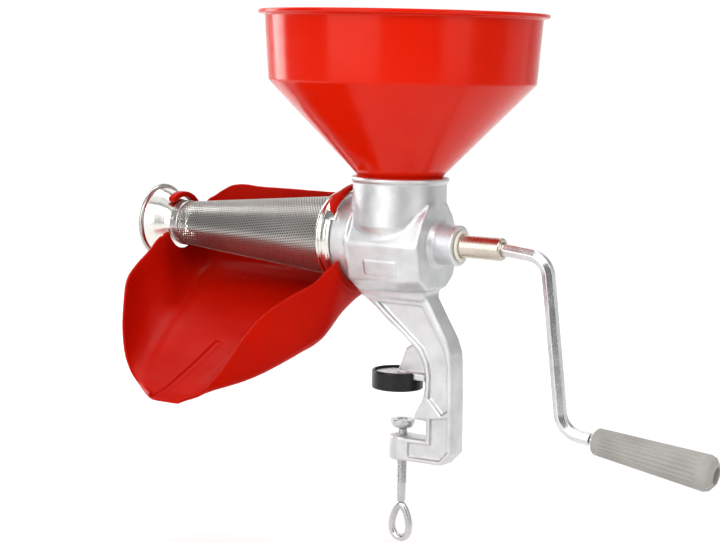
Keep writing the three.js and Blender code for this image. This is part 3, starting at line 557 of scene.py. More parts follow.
def build_body():
    h = 0.72
    lo, hi = (-43.2, -39.4, -56.4), (57.8, 39.4, 165.2)
    X, Y, Z = grid(lo, hi, h)
    z = Z - AX
    rx = np.hypot(Y, z)                                  # about the barrel axis
    rc = np.hypot(X, Y)                                  # about the hopper axis
    # faceted body, a little smaller towards the crank
    k = 1 - 0.07 * np.maximum(0, (X - 8) / 26.5) ** 1.5
    half = [(35.2, -0.5), (30.5, 10.5), (25.5, 21), (15, 32), (-15, 32)]
    low = [(35.2, -0.5), (28.2, -28.5), (16, -37.2), (-16, -37.2)]
    ay = np.abs(Y)
    d = None
    for pts in (half, low):
        for a, b in zip(pts[:-1], pts[1:]):
            e = np.array(b) - np.array(a)
            nrm = np.array([e[1], -e[0]]) / np.hypot(*e)
            if nrm @ np.array(a) < 0:
                nrm = -nrm
            c = nrm @ np.array(a)
            p = nrm[0] * ay + nrm[1] * z - c * k
            d = p if d is None else smax(d, p, 1.1)
    ends = np.abs(X - 3.25) - 31.25
    F = smax(d, ends, 1.9)
    # blank raised plate on the lower front face
    tip, foot = np.array([35.2, -0.5]), np.array([28.2, -28.5])
    e = (foot - tip) / np.hypot(*(foot - tip))
    out = np.array([-e[1], e[0]])
    out = out if out[0] > 0 else -out
    slope_ = (-Y - tip[0]) * e[0] + (z - tip[1]) * e[1]
    level = (-Y - tip[0]) * out[0] + (z - tip[1]) * out[1]
    plate_ = smax(smax(np.abs(X - 2.2) - 13.8, np.abs(slope_ - 18.2) - 5.6, 0.8), np.abs(level + 0.4) - 1.1, 0.5)
    F = smin(F, plate_, 0.5)
    # collar with its lip
    zr = [0, 13, 45.0, 46.2, 47.0, 48.6, 49.3]
    Rz = np.interp(z, zr, [30.5, 36, 36, 37.2, 37.7, 37.7, 37.0])
    col = smax(smax(rc - Rz, z - 49.3, 0.8), -z, 1.0)
    F = smin(F, col, 2.2)
    # neck, bayonet ramps
    neck = smax(rx - 34.5, np.abs(X + 33.5) - 8.0, 1.4)
    F = smin(F, neck, 1.2)
    ang = np.arctan2(z, Y)
    for a0 in (BAYONET, BAYONET - math.pi):
        da = np.abs((ang - a0 + math.pi) % (2 * math.pi) - math.pi)
        ramp_ = smax(smax(smax(rx - 35.9, 32 - rx, .3), (da - 0.11) * 35, 0.8), np.abs(X + 40.4) - 1.1, 0.5)
        F = smin(F, ramp_, 0.4)
    # crank boss
    Rb = np.interp(X, [30, 35.7, 37.1, 37.9, 60], [17.6, 17.6, 16.6, 15.6, 15.6])
    boss = smax(smax(rx - Rb, X - 54, 1.4), 24 - X, 1)
    F = smin(F, boss, 1.6)
    # leg with its pockets
    leg2 = poly2(LEG, X[:, 0, :], z[:, 0, :] + 0 * X[:, 0, :])[:, None, :]
    leg = smax(leg2, ay - 10, 2.6)
    jaw = smax(np.hypot(X - 7.7, Y) - 10, np.abs(z + 159.3) - 9.3, 1.8)
    leg = smin(leg, jaw, 1.6)
    for P in (UPPER, LOWER):
        p2 = poly2(P, X[:, 0, :], z[:, 0, :] + 0 * X[:, 0, :])[:, None, :]
        cut = smax(p2, 6.7 - ay, 1.3)
        leg = smax(leg, -cut, 1.1)
    F = smin(F, leg, 4.5)
    fil = smax(smax(poly2([(-28, -34), (30, -34), (30, -40.5), (27, -43), (-24, -43), (-28, -39)], X[:, 0, :], z[:, 0, :] + 0 * X[:, 0, :])[:, None, :], ay - 12.5, 2), -z - 60, 1)
    F = smin(F, fil, 3.0)
    # plate, arm and web of the upper jaw
    plate = smax(np.hypot(X - 2, Y) - 17.5, np.abs(Z - 8.45) - 4.15, 1.0)
    arm = smax(smax(np.abs(X - 23.5) - 9.5, ay - 6.9, 1.5), np.abs(Z - 11.4) - 2.8, 1.2)
    web = smax(poly2([(3, 12), (10.6, 32.4), (22, 40), (34, 32), (34, 12)], X[:, 0, :], Z[:, 0, :] + 0 * X[:, 0, :])[:, None, :], ay - 4, 1.8)
    F = smin(F, smin(plate, smin(arm, web, 2.0), 2.0), 2.2)
    # hollows
    Rt = np.interp(z, [26.6, 27.8, 47.6, 49.3, 52], [28.6, 32.4, 33.6, 34.4, 35.5])
    throat = smax(rc - Rt, -z, 0.6)
    F = smax(F, -throat, 0.7)
    bore = smax(rx - 27.6, X - 27.2, 0.5)
    F = smax(F, -bore, 0.7)
    F = smax(F, -smax(rx - 10.7, 26 - X, 0.3), 0.4)
    F = smax(F, -smax(np.hypot(X - 7.7, Y) - 4.3, Z + 30, 0.3), 0.7)
    v, q = surface(F, lo, h)
    return v, q


bv, bq = build_body()
put("casting", bv, bq, "press", ALU, "cast_aluminium", ["body_casting"], smooth=60)


# ------------------------------------------------------------------ clamp
def build_pad():
    h = 0.45
    lo, hi = (-19.2, -21.2, -1.2), (23.2, 21.2, 15.8)
    X, Y, Z = grid(lo, hi, h)
    r = np.hypot(X - 2, Y)
    F = smax(r - 20, np.abs(Z - 7.25) - 7.25, 1.5)
    F = smax(F, -smax(r - 17.8, 4 - Z, 0.8), 0.9)
    notch = smax(smax(np.abs(Y) - 7.3, 12 - X, 0.5), 8.3 - Z, 1.0)
    F = smax(F, -notch, 0.8)
    F = np.maximum(F, -smax(r - 16.5, Z - 0.35, 0.3) * 1.0) if False else F
    return surface(F, lo, h)


pv, pq = build_pad()
put("pad_rubber", pv, pq, "press", RUBBER, "black_rubber", ["clamp_pad"], smooth=60)


def build_screw():
    seg = 48
    a = np.arange(seg) * 2 * math.pi / seg
    cup_top = -23.7
    rows = []
    for r, zz in [(0.0, 0), ]:
        pass
    top = [(3.1, cup_top - .6), (3.5, cup_top - 1.0), (3.5, cup_top - 2.0), (2.5, cup_top - 2.4), (2.5, cup_top - 7.3), (3.3, cup_top - 7.7)]
    rings = [np.stack([7.7 + r * np.cos(a), r * np.sin(a), np.full(seg, z)], 1) for r, z in top]
    z0, z1, pitch = cup_top - 8.1, AX - 189.5, 1.25
    n = int((z0 - z1) / pitch * (12))
    for i in range(n + 1):
        z = z0 + (z1 - z0) * i / n
        ph = ((z / pitch + a / (2 * math.pi)) % 1.0)
        tooth = np.clip(1.22 - np.abs(ph - 0.5) * 2 * 1.35, 0.0, 1.0)        # flat crest, sloped flanks, flat root
        tooth = tooth * tooth * (3 - 2 * tooth)
        fade = min(1.0, (z0 - z) / 1.6, (z - z1) / 2.2)
        r = 3.45 + 0.5 * tooth * max(0.0, fade)
        rings.append(np.stack([7.7 + r * np.cos(a), r * np.sin(a), np.full(seg, z)], 1))
    for r, z in [(3.45, z1 - .5), (3.4, z1 - 6), (3.35, z1 - 11), (3.0, z1 - 13.5)]:
        rings.append(np.stack([7.7 + r * np.cos(a), r * np.sin(a), np.full(seg, z)], 1))
    shank = rings_mesh(rings, cap0=(7.7, 0, cup_top - .6), cap1=(7.7, 0, z1 - 13.5))
    th = np.linspace(0, 2 * math.pi, 96, endpoint=False)
    path = np.stack([7.7 + 7.6 * np.sin(th) * (1 - .32 * np.cos(th)) / 1.04, np.zeros(96), AX - 218.9 + 13.2 * np.cos(th)], 1)
    eye = sweep(path, circle(2.75, 28), side=(0, 1, 0), closed=True)
    return join(shank, eye)


sv, sf = build_screw()
put("clamp_screw_threaded", sv, sf, "screw", ZINC, "zinc_steel", ["clamp_screw"], smooth=50)
cv, cf = turn_z(ease([(2.9, -29.9), (7.4, -29.9), (9.5, -26.9), (9.5, -23.7), (4.1, -23.7), (4.1, -26.5), (2.9, -26.5)], 0.7, 4), 96, 7.7)
put("pressure_cup_turned", cv, cf, "cup", ZINC, "zinc_steel", ["pressure_cup"], weighted=True)

# ------------------------------------------------------------------ hopper
hop = [
    (31.5, 28.3), (32.9, 49.4), (33.15, 50.6), (100.9, 120.3), (101.6, 121.4), (105.0, 169.6), (109.3, 170.2), (110, 171), (110, 172.6), (109.2, 173.4),
    (104.4, 173.4), (103.2, 172.2), (99.7, 122), (30.6, 51.2), (29.5, 28.3),
]
hrows = ease([(r, z + AX) for r, z in hop], 0.7, 4, {1: 1.6, 2: 1.6, 3: 3.0, 4: 3.0, 5: 1.6, 12: 4.5, 13: 3.0, 10: 1.4, 11: 1.4})
# extra rows keep the long walls even
dense = []
for i, p in enumerate(hrows):
    q = hrows[(i + 1) % len(hrows)]
    n = max(1, int(np.hypot(q[0] - p[0], q[1] - p[1]) / 9))
    for s in range(n):
        dense.append(p + (q - p) * s / n)
hv, hf = turn_z(dense, 200)
put("hopper_moulded", hv, hf, "hopper", RED, "red_hopper", ["hopper"], smooth=50, weighted=True)

# ------------------------------------------------------------------ crank shaft
v, f = turn_x(ease([(8.97, 31), (10.4, 31), (10.4, 54.3), (11.7, 54.3), (11.7, 55.7), (10.8, 56.2), (8.97, 56.2)], 0.35, 3), 96)
put("bush_nylon", v, f, "press", NYLON, "white_nylon", ["shaft_bush"], weighted=True)
v, f = turn_x(ease([(8.97, 28.4), (9.3, 27.9), (10.1, 27.9), (10.4, 28.4), (10.4, 30.2), (10.1, 30.7), (9.3, 30.7), (8.97, 30.2)], 0.3, 3), 72)
put("seal_ring", v, f, "press", RUBBER, "black_rubber", ["shaft_seal"])


def ngon_r(n, af, a, phase=0.0):
    """Distance from the centre to a regular polygon's edge at each angle; af is across flats, a corner at phase."""
    w = (a - phase + math.pi / n) % (2 * math.pi / n) - math.pi / n
    return (af / 2) / np.cos(math.pi / n - np.abs(w))


def build_sleeve():
    seg = 96
    a = np.arange(seg) * 2 * math.pi / seg
    sq = ngon_r(4, 12, a, math.pi / 4)
    hx = ngon_r(6, 9.6, a)
    C = lambda r: np.full(seg, r)
    rows = [(sq - .8, -14.0), (sq, -13.2), (sq, 18.0), (C(8.2), 18.0), (C(8.67), 18.5)]
    rows += [(C(8.67), x) for x in np.linspace(22, 88.4, 12)]
    rows += [(C(8.6), 88.75), (C(8.35), 89.15), (C(7.75), 89.75), (C(7.5), 89.95), (C(7.1), 90.0), (hx + .5, 90.0), (hx, 89.5), (hx, 70), (hx, 51.0)]
    rings = [np.stack([np.full(seg, x), r * np.cos(a), AX + r * np.sin(a)], 1) for r, x in rows]
    return rings_mesh(rings, cap0=(-14, 0, AX), cap1=(51.0, 0, AX))


v, f = build_sleeve()
put("sleeve_turned", v, f, "crank", TURNED, "turned_steel", ["drive_sleeve"], smooth=40, weighted=True)
v, f = turn_z([(0, AX - 8.78), (0.9, AX - 8.74), (1.35, AX - 8.6), (1.5, AX - 8.35), (1.5, AX + 8.35), (1.35, AX + 8.6), (0.9, AX + 8.74), (0, AX + 8.78)], 32, 84.5)
put("cross_pin", v, f, "crank", ZINC, "turned_steel", ["sleeve_cross_pin"])

GD = np.array([0.9914, 0, -0.1308])
GD /= np.linalg.norm(GD)
GP = np.array([168.7, 0, AX - 133.2])
bar_end = GP - GD * 3.4
route = bent([(51.6, 0, AX), (92, 0, AX), (125.7, 0, AX - 3.6), (142.45, 0, AX - 129.75), bar_end], [70, 17, 17], 26)
fine = [route[0]]
for p, q in zip(route[:-1], route[1:]):
    n = max(1, int(np.linalg.norm(q - p) / 6))
    fine += [p + (q - p) * s / n for s in range(1, n + 1)]
hexagon = ease([(9 / math.sqrt(3) * math.cos(math.pi / 6 + i * math.pi / 3), 9 / math.sqrt(3) * math.sin(math.pi / 6 + i * math.pi / 3)) for i in range(6)], 1.0, 8)
path = np.array(fine)
T0, T1 = path[1] - path[0], path[-1] - path[-2]
v, f = sweep(path, hexagon, side=(0, 1, 0))
put("bar_hexagon", v, f, "crank", CHROME, "bright_bar", ["crank_bar"], smooth=30, bevel=0.35, weighted=True)

# pieces about the grip's own axis
gx = np.array([0, 1.0, 0])
gy = np.cross(GD, gx)
GM = np.stack([gx, gy, GD], 1)


def on_grip(mesh):
    v, f = mesh
    return np.asarray(v) @ GM.T + GP, f


def build_grip():
    flutes = 22
    seg = flutes * 10
    a = np.arange(seg) * 2 * math.pi / seg
    L = 94.0
    rows = ease([(3.4, .4), (8.4, .4), (10, 2.2), (13.4, 87), (12.2, 90.6), (7.6, 94), (6.2, 94), (6.2, 85.6), (3.4, 85.6)], 0.8, 4)
    rows = [np.array(r) for r in rows]
    dense = []
    for i, p in enumerate(rows):
        q = rows[(i + 1) % len(rows)]
        n = max(1, int(np.hypot(*(q - p)) / 1.6))
        for s in range(n):
            dense.append(p + (q - p) * s / n)

    def shape(a, r, s):
        base = np.full(seg, r)
        if r < 8.9:
            return base
        env = np.clip((s - 4.5) / 3.0, 0, 1) * np.clip((83.2 - s) / 2.6, 0, 1)
        env = env * env * (3 - 2 * env)
        w = 0.5 + 0.5 * np.cos(flutes * a)                 # 1 at the middle of a flute
        prof = np.clip((w - 0.28) / 0.72, 0, 1) ** 0.75
        return base - (0.28 + 0.055 * r) * prof * env

    return turn_z(dense, seg, 0.0, shape)


put("grip_fluted", *on_grip(build_grip()), "grip", GRIP, "grey_grip", ["grip"], smooth=48)
put("spindle", *on_grip(turn_z([(0, -3.1), (2.7, -3.1), (3, -2.8), (3, 85.4), (2.2, 85.6), (2.2, 89.1), (1.9, 89.4), (0, 89.4)], 48)), "crank", ZINC, "zinc_steel", ["grip_spindle"], weighted=True)
put("push_nut", *on_grip(turn_z(ease([(2.5, 86.1), (5.4, 86.1), (5.4, 87.4), (3.4, 88.4), (2.5, 88.4)], 0.35, 3), 48)), "crank", SPRING, "spring_steel", ["grip_push_nut"], weighted=True)


# ------------------------------------------------------------------ auger and what drives it
def cone_r(x):
    return 17.3 + (x + 203) * (32.1 - 17.3) / 159.5


def build_auger():
    x0, x1, xe = -197.0, 16.0, 7.0
    steps = 430
    arc = [0.0]
    half = 0.30
    left = [(half + .34, 0), (half + .16, .05), (half + .05, .28), (half * .82, .62), (half * .70, .93), (half * .58, 1.0), (half * .3, 1.0)]
    prof = [(0.0, 1.0)] + [(w, q) for w, q in left[::-1]]
    body_n = 22
    a_end = prof[-1][0]
    mid = [(a_end + (2 * math.pi - 2 * a_end) * i / body_n, 0.0) for i in range(1, body_n)]
    ring = prof + mid + [(2 * math.pi - w, q) for w, q in left]
    th = np.array([w for w, _ in ring])
    fin = np.array([q for _, q in ring])
    turn, rings = 0.0, []
    dx = (xe - x0) / steps
    for i in range(steps + 1):
        x = x0 + dx * i
        if i:
            turn += 2 * math.pi * dx / (26 + (x - dx / 2 - x0) * 0.06)
        core = 8.2 + (x - x0) / (x1 - x0) * 5.3
        top = 26.4 if x > -41 else min(26.4, cone_r(x) - 0.8 - 1.1)
        e = min(1.0, (x1 - x) / 6, (x - x0) / 6)
        r = core + fin * max(0.0, e) * (top - core)
        a = th + turn
        rings.append(np.stack([np.full(len(th), x), r * np.cos(a), AX + r * np.sin(a)], 1))
    a = th + turn
    core_end = rings[-1]
    for r, x in ((15.0, 7.0), (15.5, 7.5), (15.5, 15.4), (14.9, 16.0)):
        rings.append(np.stack([np.full(len(th), x), r * np.cos(a), AX + r * np.sin(a)], 1))
    for x in (16.0, -16.9):
        sq = ngon_r(4, 17.2, a, math.pi / 4)
        rings.append(np.stack([np.full(len(th), x), sq * np.cos(a), AX + sq * np.sin(a)], 1))
    return rings_mesh(rings, cap0=(x0, 0, AX), cap1=(-16.9, 0, AX))


v, f = build_auger()
put("auger_helix", v, f, "crank", AUGER_SHADED, "white_nylon", ["auger"], smooth=50)


def square_rows(rows, seg=48):
    a = np.arange(seg) * 2 * math.pi / seg
    return [np.stack([np.full(seg, x), ngon_r(4, 2 * h, a, math.pi / 4) * np.cos(a), AX + ngon_r(4, 2 * h, a, math.pi / 4) * np.sin(a)], 1) for h, x in rows]


v, f = rings_mesh(square_rows([(8.0, -16.6), (8.3, -16.3), (8.3, 15.1), (8.0, 15.4), (6.6, 15.4), (6.3, 15.1), (6.3, -14.3)]), cap0=(-16.6, 0, AX), cap1=(-14.3, 0, AX))
put("drive_insert", v, f, "crank", SPRING, "turned_steel", ["auger_drive_insert"], weighted=True)
v, f = turn_x(ease([(8.97, 25.4), (15.5, 25.4), (15.5, 26.9), (8.97, 26.9)], 0.35, 3), 80)
put("washer_nylon", v, f, "crank", NYLON, "white_nylon", ["thrust_washer"], weighted=True)
w = np.linspace(0, 2 * math.pi * 2.6, 120)
v, f = sweep(np.stack([17.4 + 6.7 * w / w[-1], 11.6 * np.cos(w), AX + 11.6 * np.sin(w)], 1), circle(0.78, 12))
put("spring_coil", v, f, "crank", SPRING, "spring_steel", ["auger_spring"], smooth=60)


# ------------------------------------------------------------------ filter
def build_screen(x_from, x_to):
    """Perforated sheet rolled into a cone. The holes lie in a regular staggered pattern on the flat sheet."""
    pitch, hole, thick = 2.45, 0.82, 0.8
    slope = math.atan2(32.1 - 17.3, 159.5)
    s_of = lambda x: cone_r(x) / math.sin(slope)          # distance from the apex along the slope
    p0, p1 = s_of(x_from), s_of(x_to)
    wide = 2 * math.pi * math.sin(slope)                   # angle of the opened sheet
    gap = 1.6
    rowh = pitch * math.sqrt(3) / 2
    sides = 12
    cells = []
    reach = p1 * 1.02
    n = int(reach / rowh) + 2
    for j in range(-n, n + 1):
        yy = j * rowh
        i = np.arange(-n * 2, n * 2 + 1)
        xx = i * pitch + (pitch / 2 if j % 2 else 0)
        rr = np.hypot(xx, yy)
        ph = np.arctan2(yy, xx)
        keep = (rr > p0) & (rr < p1) & (np.abs(ph) < wide / 2 - (gap + 0.2) / np.maximum(rr, 1))
        for x_, y_ in zip(xx[keep], np.full(keep.sum(), yy)):
            cells.append((x_, y_))
    C = np.array(cells)
    m = len(C)
    hexa = np.arange(6) * math.pi / 3 + math.pi / 6
    cr = pitch / math.sqrt(3)
    corners = C[:, None, :] + cr * np.stack([np.cos(hexa), np.sin(hexa)], 1)[None]
    flat = corners.reshape(-1, 2)
    key = np.round(flat * 50).astype(np.int64)
    # neighbouring cells share corners
    _, first, inv = np.unique(key[:, 0] * 10_000_019 + key[:, 1], return_index=True, return_inverse=True)
    shared = flat[first]
    inv = inv.reshape(m, 6)
    ha = np.arange(sides) * 2 * math.pi / sides + math.pi / 6
    holes = (C[:, None, :] + hole * np.stack([np.cos(ha), np.sin(ha)], 1)[None]).reshape(-1, 2)
    P = np.concatenate([shared, holes])
    nshared, npts = len(shared), len(P)

    def roll(P, off):
        s = np.hypot(P[:, 0], P[:, 1])
        th = np.arctan2(P[:, 1], P[:, 0]) / math.sin(slope) - math.pi / 2 + math.pi     # seam underneath
        r = s * math.sin(slope) - off
        x = -203 + (s * math.sin(slope) - 17.3) * 159.5 / (32.1 - 17.3)
        x = x + off * math.sin(slope) * 0
        return np.stack([x, r * np.cos(th), AX + r * np.sin(th)], 1)

    V = np.concatenate([roll(P, 0.0), roll(P, thick)])
    hid = nshared + np.arange(m * sides).reshape(m, sides)
    faces = []
    step = sides // 6
    for k in range(6):
        c0, c1 = inv[:, k], inv[:, (k + 1) % 6]
        hs = [hid[:, (k * step + q) % sides] for q in range(step, -1, -1)]
        top = np.stack([c0, c1] + hs, 1)
        faces += [tuple(r) for r in top.tolist()]
        faces += [tuple(r[::-1]) for r in (top + npts).tolist()]
    for k in range(sides):
        h0, h1 = hid[:, k], hid[:, (k + 1) % sides]
        faces += [tuple(r) for r in np.stack([h0, h1, h1 + npts, h0 + npts], 1).tolist()]
    # close the outside border
    e0 = np.concatenate([inv[:, k] for k in range(6)])
    e1 = np.concatenate([inv[:, (k + 1) % 6] for k in range(6)])
    lo_, hi_ = np.minimum(e0, e1), np.maximum(e0, e1)
    kk = lo_ * 10_000_000 + hi_
    _, idx, cnt = np.unique(kk, return_index=True, return_counts=True)
    for i in idx[cnt == 1]:
        a, b = int(e0[i]), int(e1[i])
        faces.append((b, a, a + npts, b + npts))
    return V, faces


XM = -118.0
v, f = build_screen(-201.2, XM)
put("screen_outer_half", v, f, "filter", PERF, "perforated_steel", smooth=45)
v, f = build_screen(XM, -55.0)
screen = put("screen_inner_half", v, f, "filter", PERF, "perforated_steel", ["filter_cone"], smooth=45)
# plain margins of the sheet at both ends, and the lapped seam underneath
v, f = turn_x([(cone_r(-203) - .8, -203), (cone_r(-203), -203), (cone_r(-199.9) + .02, -199.9), (cone_r(-199.9) - .8, -199.9)], 128)
put("screen_margin_outlet", v, f, "filter", PERF, "perforated_steel", smooth=30)
v, f = turn_x([(cone_r(-57) - .82, -57), (cone_r(-57) + .02, -57), (32.1, -43.5), (31.3, -43.5)], 128)
put("screen_margin_flange", v, f, "filter", PERF, "perforated_steel", smooth=30)
rings = []
for x in np.linspace(-202.6, -44, 60):
    r = cone_r(x)
    hw = 3.4 / r
    pts = []
    aa = np.linspace(-hw, hw, 9)
    for q in aa:
        pts.append((r + 0.16, q))
    for q in aa[::-1]:
        pts.append((r - 0.9, q))
    rings.append([(x, rr * math.cos(q - math.pi / 2), AX + rr * math.sin(q - math.pi / 2)) for rr, q in pts])
R = np.array(rings)
v, f = rings_mesh(R, cap0=R[0].mean(0), cap1=R[-1].mean(0))
put("screen_seam", v, f, "filter", PERF, "perforated_steel", smooth=30)

fl = [
    (cone_r(-56) + .3, -56), (33.2, -55.4), (35.2, -53.6), (35.2, -51.8), (33.9, -51), (33.9, -48.9), (35.9, -48), (35.9, -44.6), (35.3, -43.9), (35.3, -41.8),
    (32.4, -41.8), (32.4, -43.5),
]
v, f = turn_x(ease(fl, 0.7, 4, {1: 1.2, 2: 1.0, 3: 0.8, 4: 0.5, 5: 0.5}), 160)
put("flange_spun", v, f, "filter", POLISHED, "polished_steel", ["filter_flange"], smooth=50)


def hook(mid):
    """Bent tab: a strip along the flange and a lip turned in behind the casting's ramp."""
    prof = ease([(36.22, -47.4), (37.15, -47.4), (37.15, -37.5), (35.0, -37.5), (35.0, -38.9), (36.22, -38.9)], 0.3, 3, {2: 0.9})
    rings = []
    n = 15
    for i in range(n):
        t = i / (n - 1)
        a = mid - 0.115 + 0.23 * t
        s = min(1.0, math.sin(math.pi * min(max(t, 0.0), 1.0)) * 6)
        ring = []
        for r, x in prof:
            xx = -42.4 + (x + 42.4) * (0.90 + 0.10 * s) if x < -42.4 else x
            ring.append((xx, r * math.cos(a), AX + r * math.sin(a)))
        rings.append(ring)
    R = np.array(rings)
    return rings_mesh(R, cap0=R[0].mean(0), cap1=R[-1].mean(0))


for name, nd, a in (("hook_tab_near", "filter_hook_near", BAYONET), ("hook_tab_far", "filter_hook_far", BAYONET + math.pi)):
    v, f = hook(a)
    put(name, v, f, "filter", POLISHED, "polished_steel", [nd], smooth=40)


def band_shape(a, r, x):
    if r < 18.0:
        return np.full(len(a), r)
    w = np.abs(((a * 12 / math.pi) % 2) - 1)
    dent = np.clip(1 - w / 0.42, 0, 1)
    dent = dent * dent * (3 - 2 * dent) * max(0.0, 1 - abs((x + 203.4) / 2.2) ** 2)
    return r - 0.35 * dent


brow = ease([(17.75, -207), (18.2, -207), (18.45, -206), (18.45, -200.6), (18.2, -199.8), (17.7, -199.8)], 0.3, 3)
bd = []
for i, p in enumerate(brow):
    q = brow[(i + 1) % len(brow)]
    n = max(1, int(np.hypot(*(q - p)) / 0.6))
    bd += [p + (q - p) * s / n for s in range(n)]
v, f = turn_x(bd, 192, band_shape)
put("band_crimped", v, f, "filter", BAND_SHADED, "polished_steel", ["outlet_band"], smooth=50)

flare = [
    (16.5, -203.3), (17.2, -203.3), (17.3, -206), (19.4, -211), (24.2, -219), (28.3, -227.4),
    (27.6, -227.6), (23.5, -219.2), (18.7, -211.4), (16.5, -206),
]
v, f = turn_x(ease(flare, 3.0, 8, {0: .2, 1: .2, 5: 0.3, 6: 0.3, 3: 14, 4: 22, 7: 22, 8: 14}), 160)
put("flare_spun", v, f, "filter", POLISHED, "polished_steel", ["outlet_flare"], smooth=60)
# rolled rim of the flare, in a darker copy of the polished steel: painted shade
v, f = turn_x([(28.6 + 2.15 * math.cos(q), -228.4 + 2.15 * math.sin(q)) for q in np.linspace(0, 2 * math.pi, 25)[:-1]], 160)
put("flare_rolled_rim", v, f, "filter", RIM_SHADED, "polished_steel", smooth=60)

# ------------------------------------------------------------------ drip tray
TRAY = [
    [(-206.2, 31.2, 15.5), (-199.5, 31.7, 20.5), (-183, 33, 30), (-148, 35, 30.6), (-98, 38, 30.2), (-40, 41.4, 29.2), (-36.4, 41.7, 28)],
    [(-206.2, 31, 4), (-202, 31.3, 4), (-183, 32.4, 5), (-148, 34.5, 5), (-98, 37.6, 5), (-39, 41, 5), (-36.4, 41.2, 5)],
    [(-206.2, 30, -10), (-203, 30.2, -12), (-183, 31.5, -13), (-148, 33.6, -14), (-98, 36.8, -15), (-38.5, 40.4, -14), (-36.4, 40.6, -12)],
    [(-206.2, 26.5, -4), (-200, 27.5, -24), (-183, 28, -28.5), (-148, 30, -29.6), (-98, 33, -31), (-39, 35.6, -28), (-36.4, 37.4, -18)],
    [(-206.2, 22.2, -11), (-197, 21, -33), (-183, 21, -36), (-148, 21, -37.5), (-98, 22, -38.5), (-39, 24, -37.5), (-36.4, 28.6, -27)],
    [(-206.2, 12, -22.2), (-195, 11, -39.5), (-182, 11, -41.5), (-148, 11, -42.5), (-98, 11, -43.5), (-39, 13, -42.6), (-36.4, 15, -37.2)],
    [(-206.2, 0, -25.2), (-193, 0, -45), (-180, 0, -46.4), (-148, 0, -47.6), (-98, 0, -48.6), (-40, 0, -47.6), (-36.4, 0, -40.2)],
    [(-206.2, -14, -21), (-190.5, -14, -50.6), (-176, -14, -53), (-146, -14, -55), (-98, -15, -56.6), (-41, -16, -55.4), (-36.4, -17, -36.4)],
    [(-206.2, -27, -9), (-187.5, -29, -56.5), (-172, -29, -59.6), (-144, -29, -62.6), (-97, -30, -65), (-43.5, -31, -65.4), (-36.4, -32.6, -18.6)],
    [(-205.4, -46, -19.6), (-183, -46, -62.4), (-168, -46, -66), (-142, -46, -69.8), (-97, -47, -73.4), (-51, -48, -74.4), (-46.4, -44, -31.2)],
    [(-203, -65, -29), (-179, -62, -69), (-164, -62, -72.6), (-139, -62, -76), (-98, -63, -80), (-60, -64.5, -82.4), (-57.6, -62.5, -41.6)],
    [(-195.6, -85, -38.2), (-174.5, -77, -76.6), (-160, -77, -80), (-136, -78, -83), (-99, -78, -87), (-69, -80, -90), (-68.6, -79, -54)],
    [(-186, -100, -52.6), (-169, -91, -84.6), (-155, -92, -87.6), (-133, -92, -90), (-101, -92, -93.6), (-77, -93, -96.6), (-78.4, -90, -70)],
    [(-175.6, -114, -71.6), (-161.6, -107, -92.4), (-149, -107, -94.4), (-130, -107, -96.6), (-103, -107, -99.6), (-83, -107, -102), (-84, -103, -86.6)],
    [(-163.4, -125, -90.6), (-152, -121, -99.6), (-142, -121, -101), (-126, -121, -102.8), (-104.6, -121, -105), (-87.6, -121, -106.6), (-87.6, -118, -101.6)],
    [(-148.6, -132, -106), (-141, -133, -106.4), (-133, -134, -107.4), (-121, -134, -108.4), (-105.4, -134, -109.4), (-91, -135, -110), (-88.6, -134, -108.6)],
    [(-134, -141, -110.6), (-130, -142.6, -110.6), (-124.6, -144, -110.8), (-116.6, -145.4, -111), (-104.6, -146.4, -111.2), (-94, -147.4, -111.2), (-91.4, -147.6, -110.6)],
    [(-121.8, -149, -111.6), (-119.4, -151.6, -111.6), (-116.6, -153.8, -111.6), (-112, -155.4, -111.6), (-103, -155.9, -111.6), (-94, -155.9, -111.6), (-91.6, -155.7, -111.6)],
]
THICK = 2.2


def tray_section(s):
    s = [np.array(p, float) for p in s]
    L, l, c, r, R = s[0], s[1], s[2:5], s[5], s[6]
    wl, wr = (L + l) / 2, (R + r) / 2
    wl[0] += (L[0] - l[0]) * 0.22
    wr[0] += (R[0] - r[0]) * 0.22
    ll, lr = L + (l - L) * 0.78, R + (r - R) * 0.78
    ll[0] += (L[0] - l[0]) * 0.2
    lr[0] += (R[0] - r[0]) * 0.2
    return [L, wl, ll, l, *c, r, lr, wr, R]


def spline(P, per, axis):
    """Centripetal-like smooth curve through the points along one axis of a grid."""
    P = np.moveaxis(P, axis, 0)
    n = len(P)
    step = np.linalg.norm(np.diff(P, axis=0), axis=2).mean(1)
    t = np.concatenate([[0], np.cumsum(np.maximum(step, 1e-6))])
    m = np.zeros_like(P)
    d = np.diff(P, axis=0) / np.diff(t)[:, None, None]
    m[0], m[-1] = d[0], d[-1]
    for i in range(1, n - 1):
        h0, h1 = t[i] - t[i - 1], t[i + 1] - t[i]
        m[i] = (d[i - 1] * h1 + d[i] * h0) / (h0 + h1)
    out = []
    for i in range(n - 1):
        h = t[i + 1] - t[i]
        k = max(1, int(math.ceil(h / per)))
        for q in range(k):
            u = q / k
            out.append((2 * u**3 - 3 * u**2 + 1) * P[i] + (u**3 - 2 * u**2 + u) * h * m[i] + (-2 * u**3 + 3 * u**2) * P[i + 1] + (u**3 - u**2) * h * m[i + 1])
    out.append(P[-1])
    return np.moveaxis(np.array(out), 0, axis)


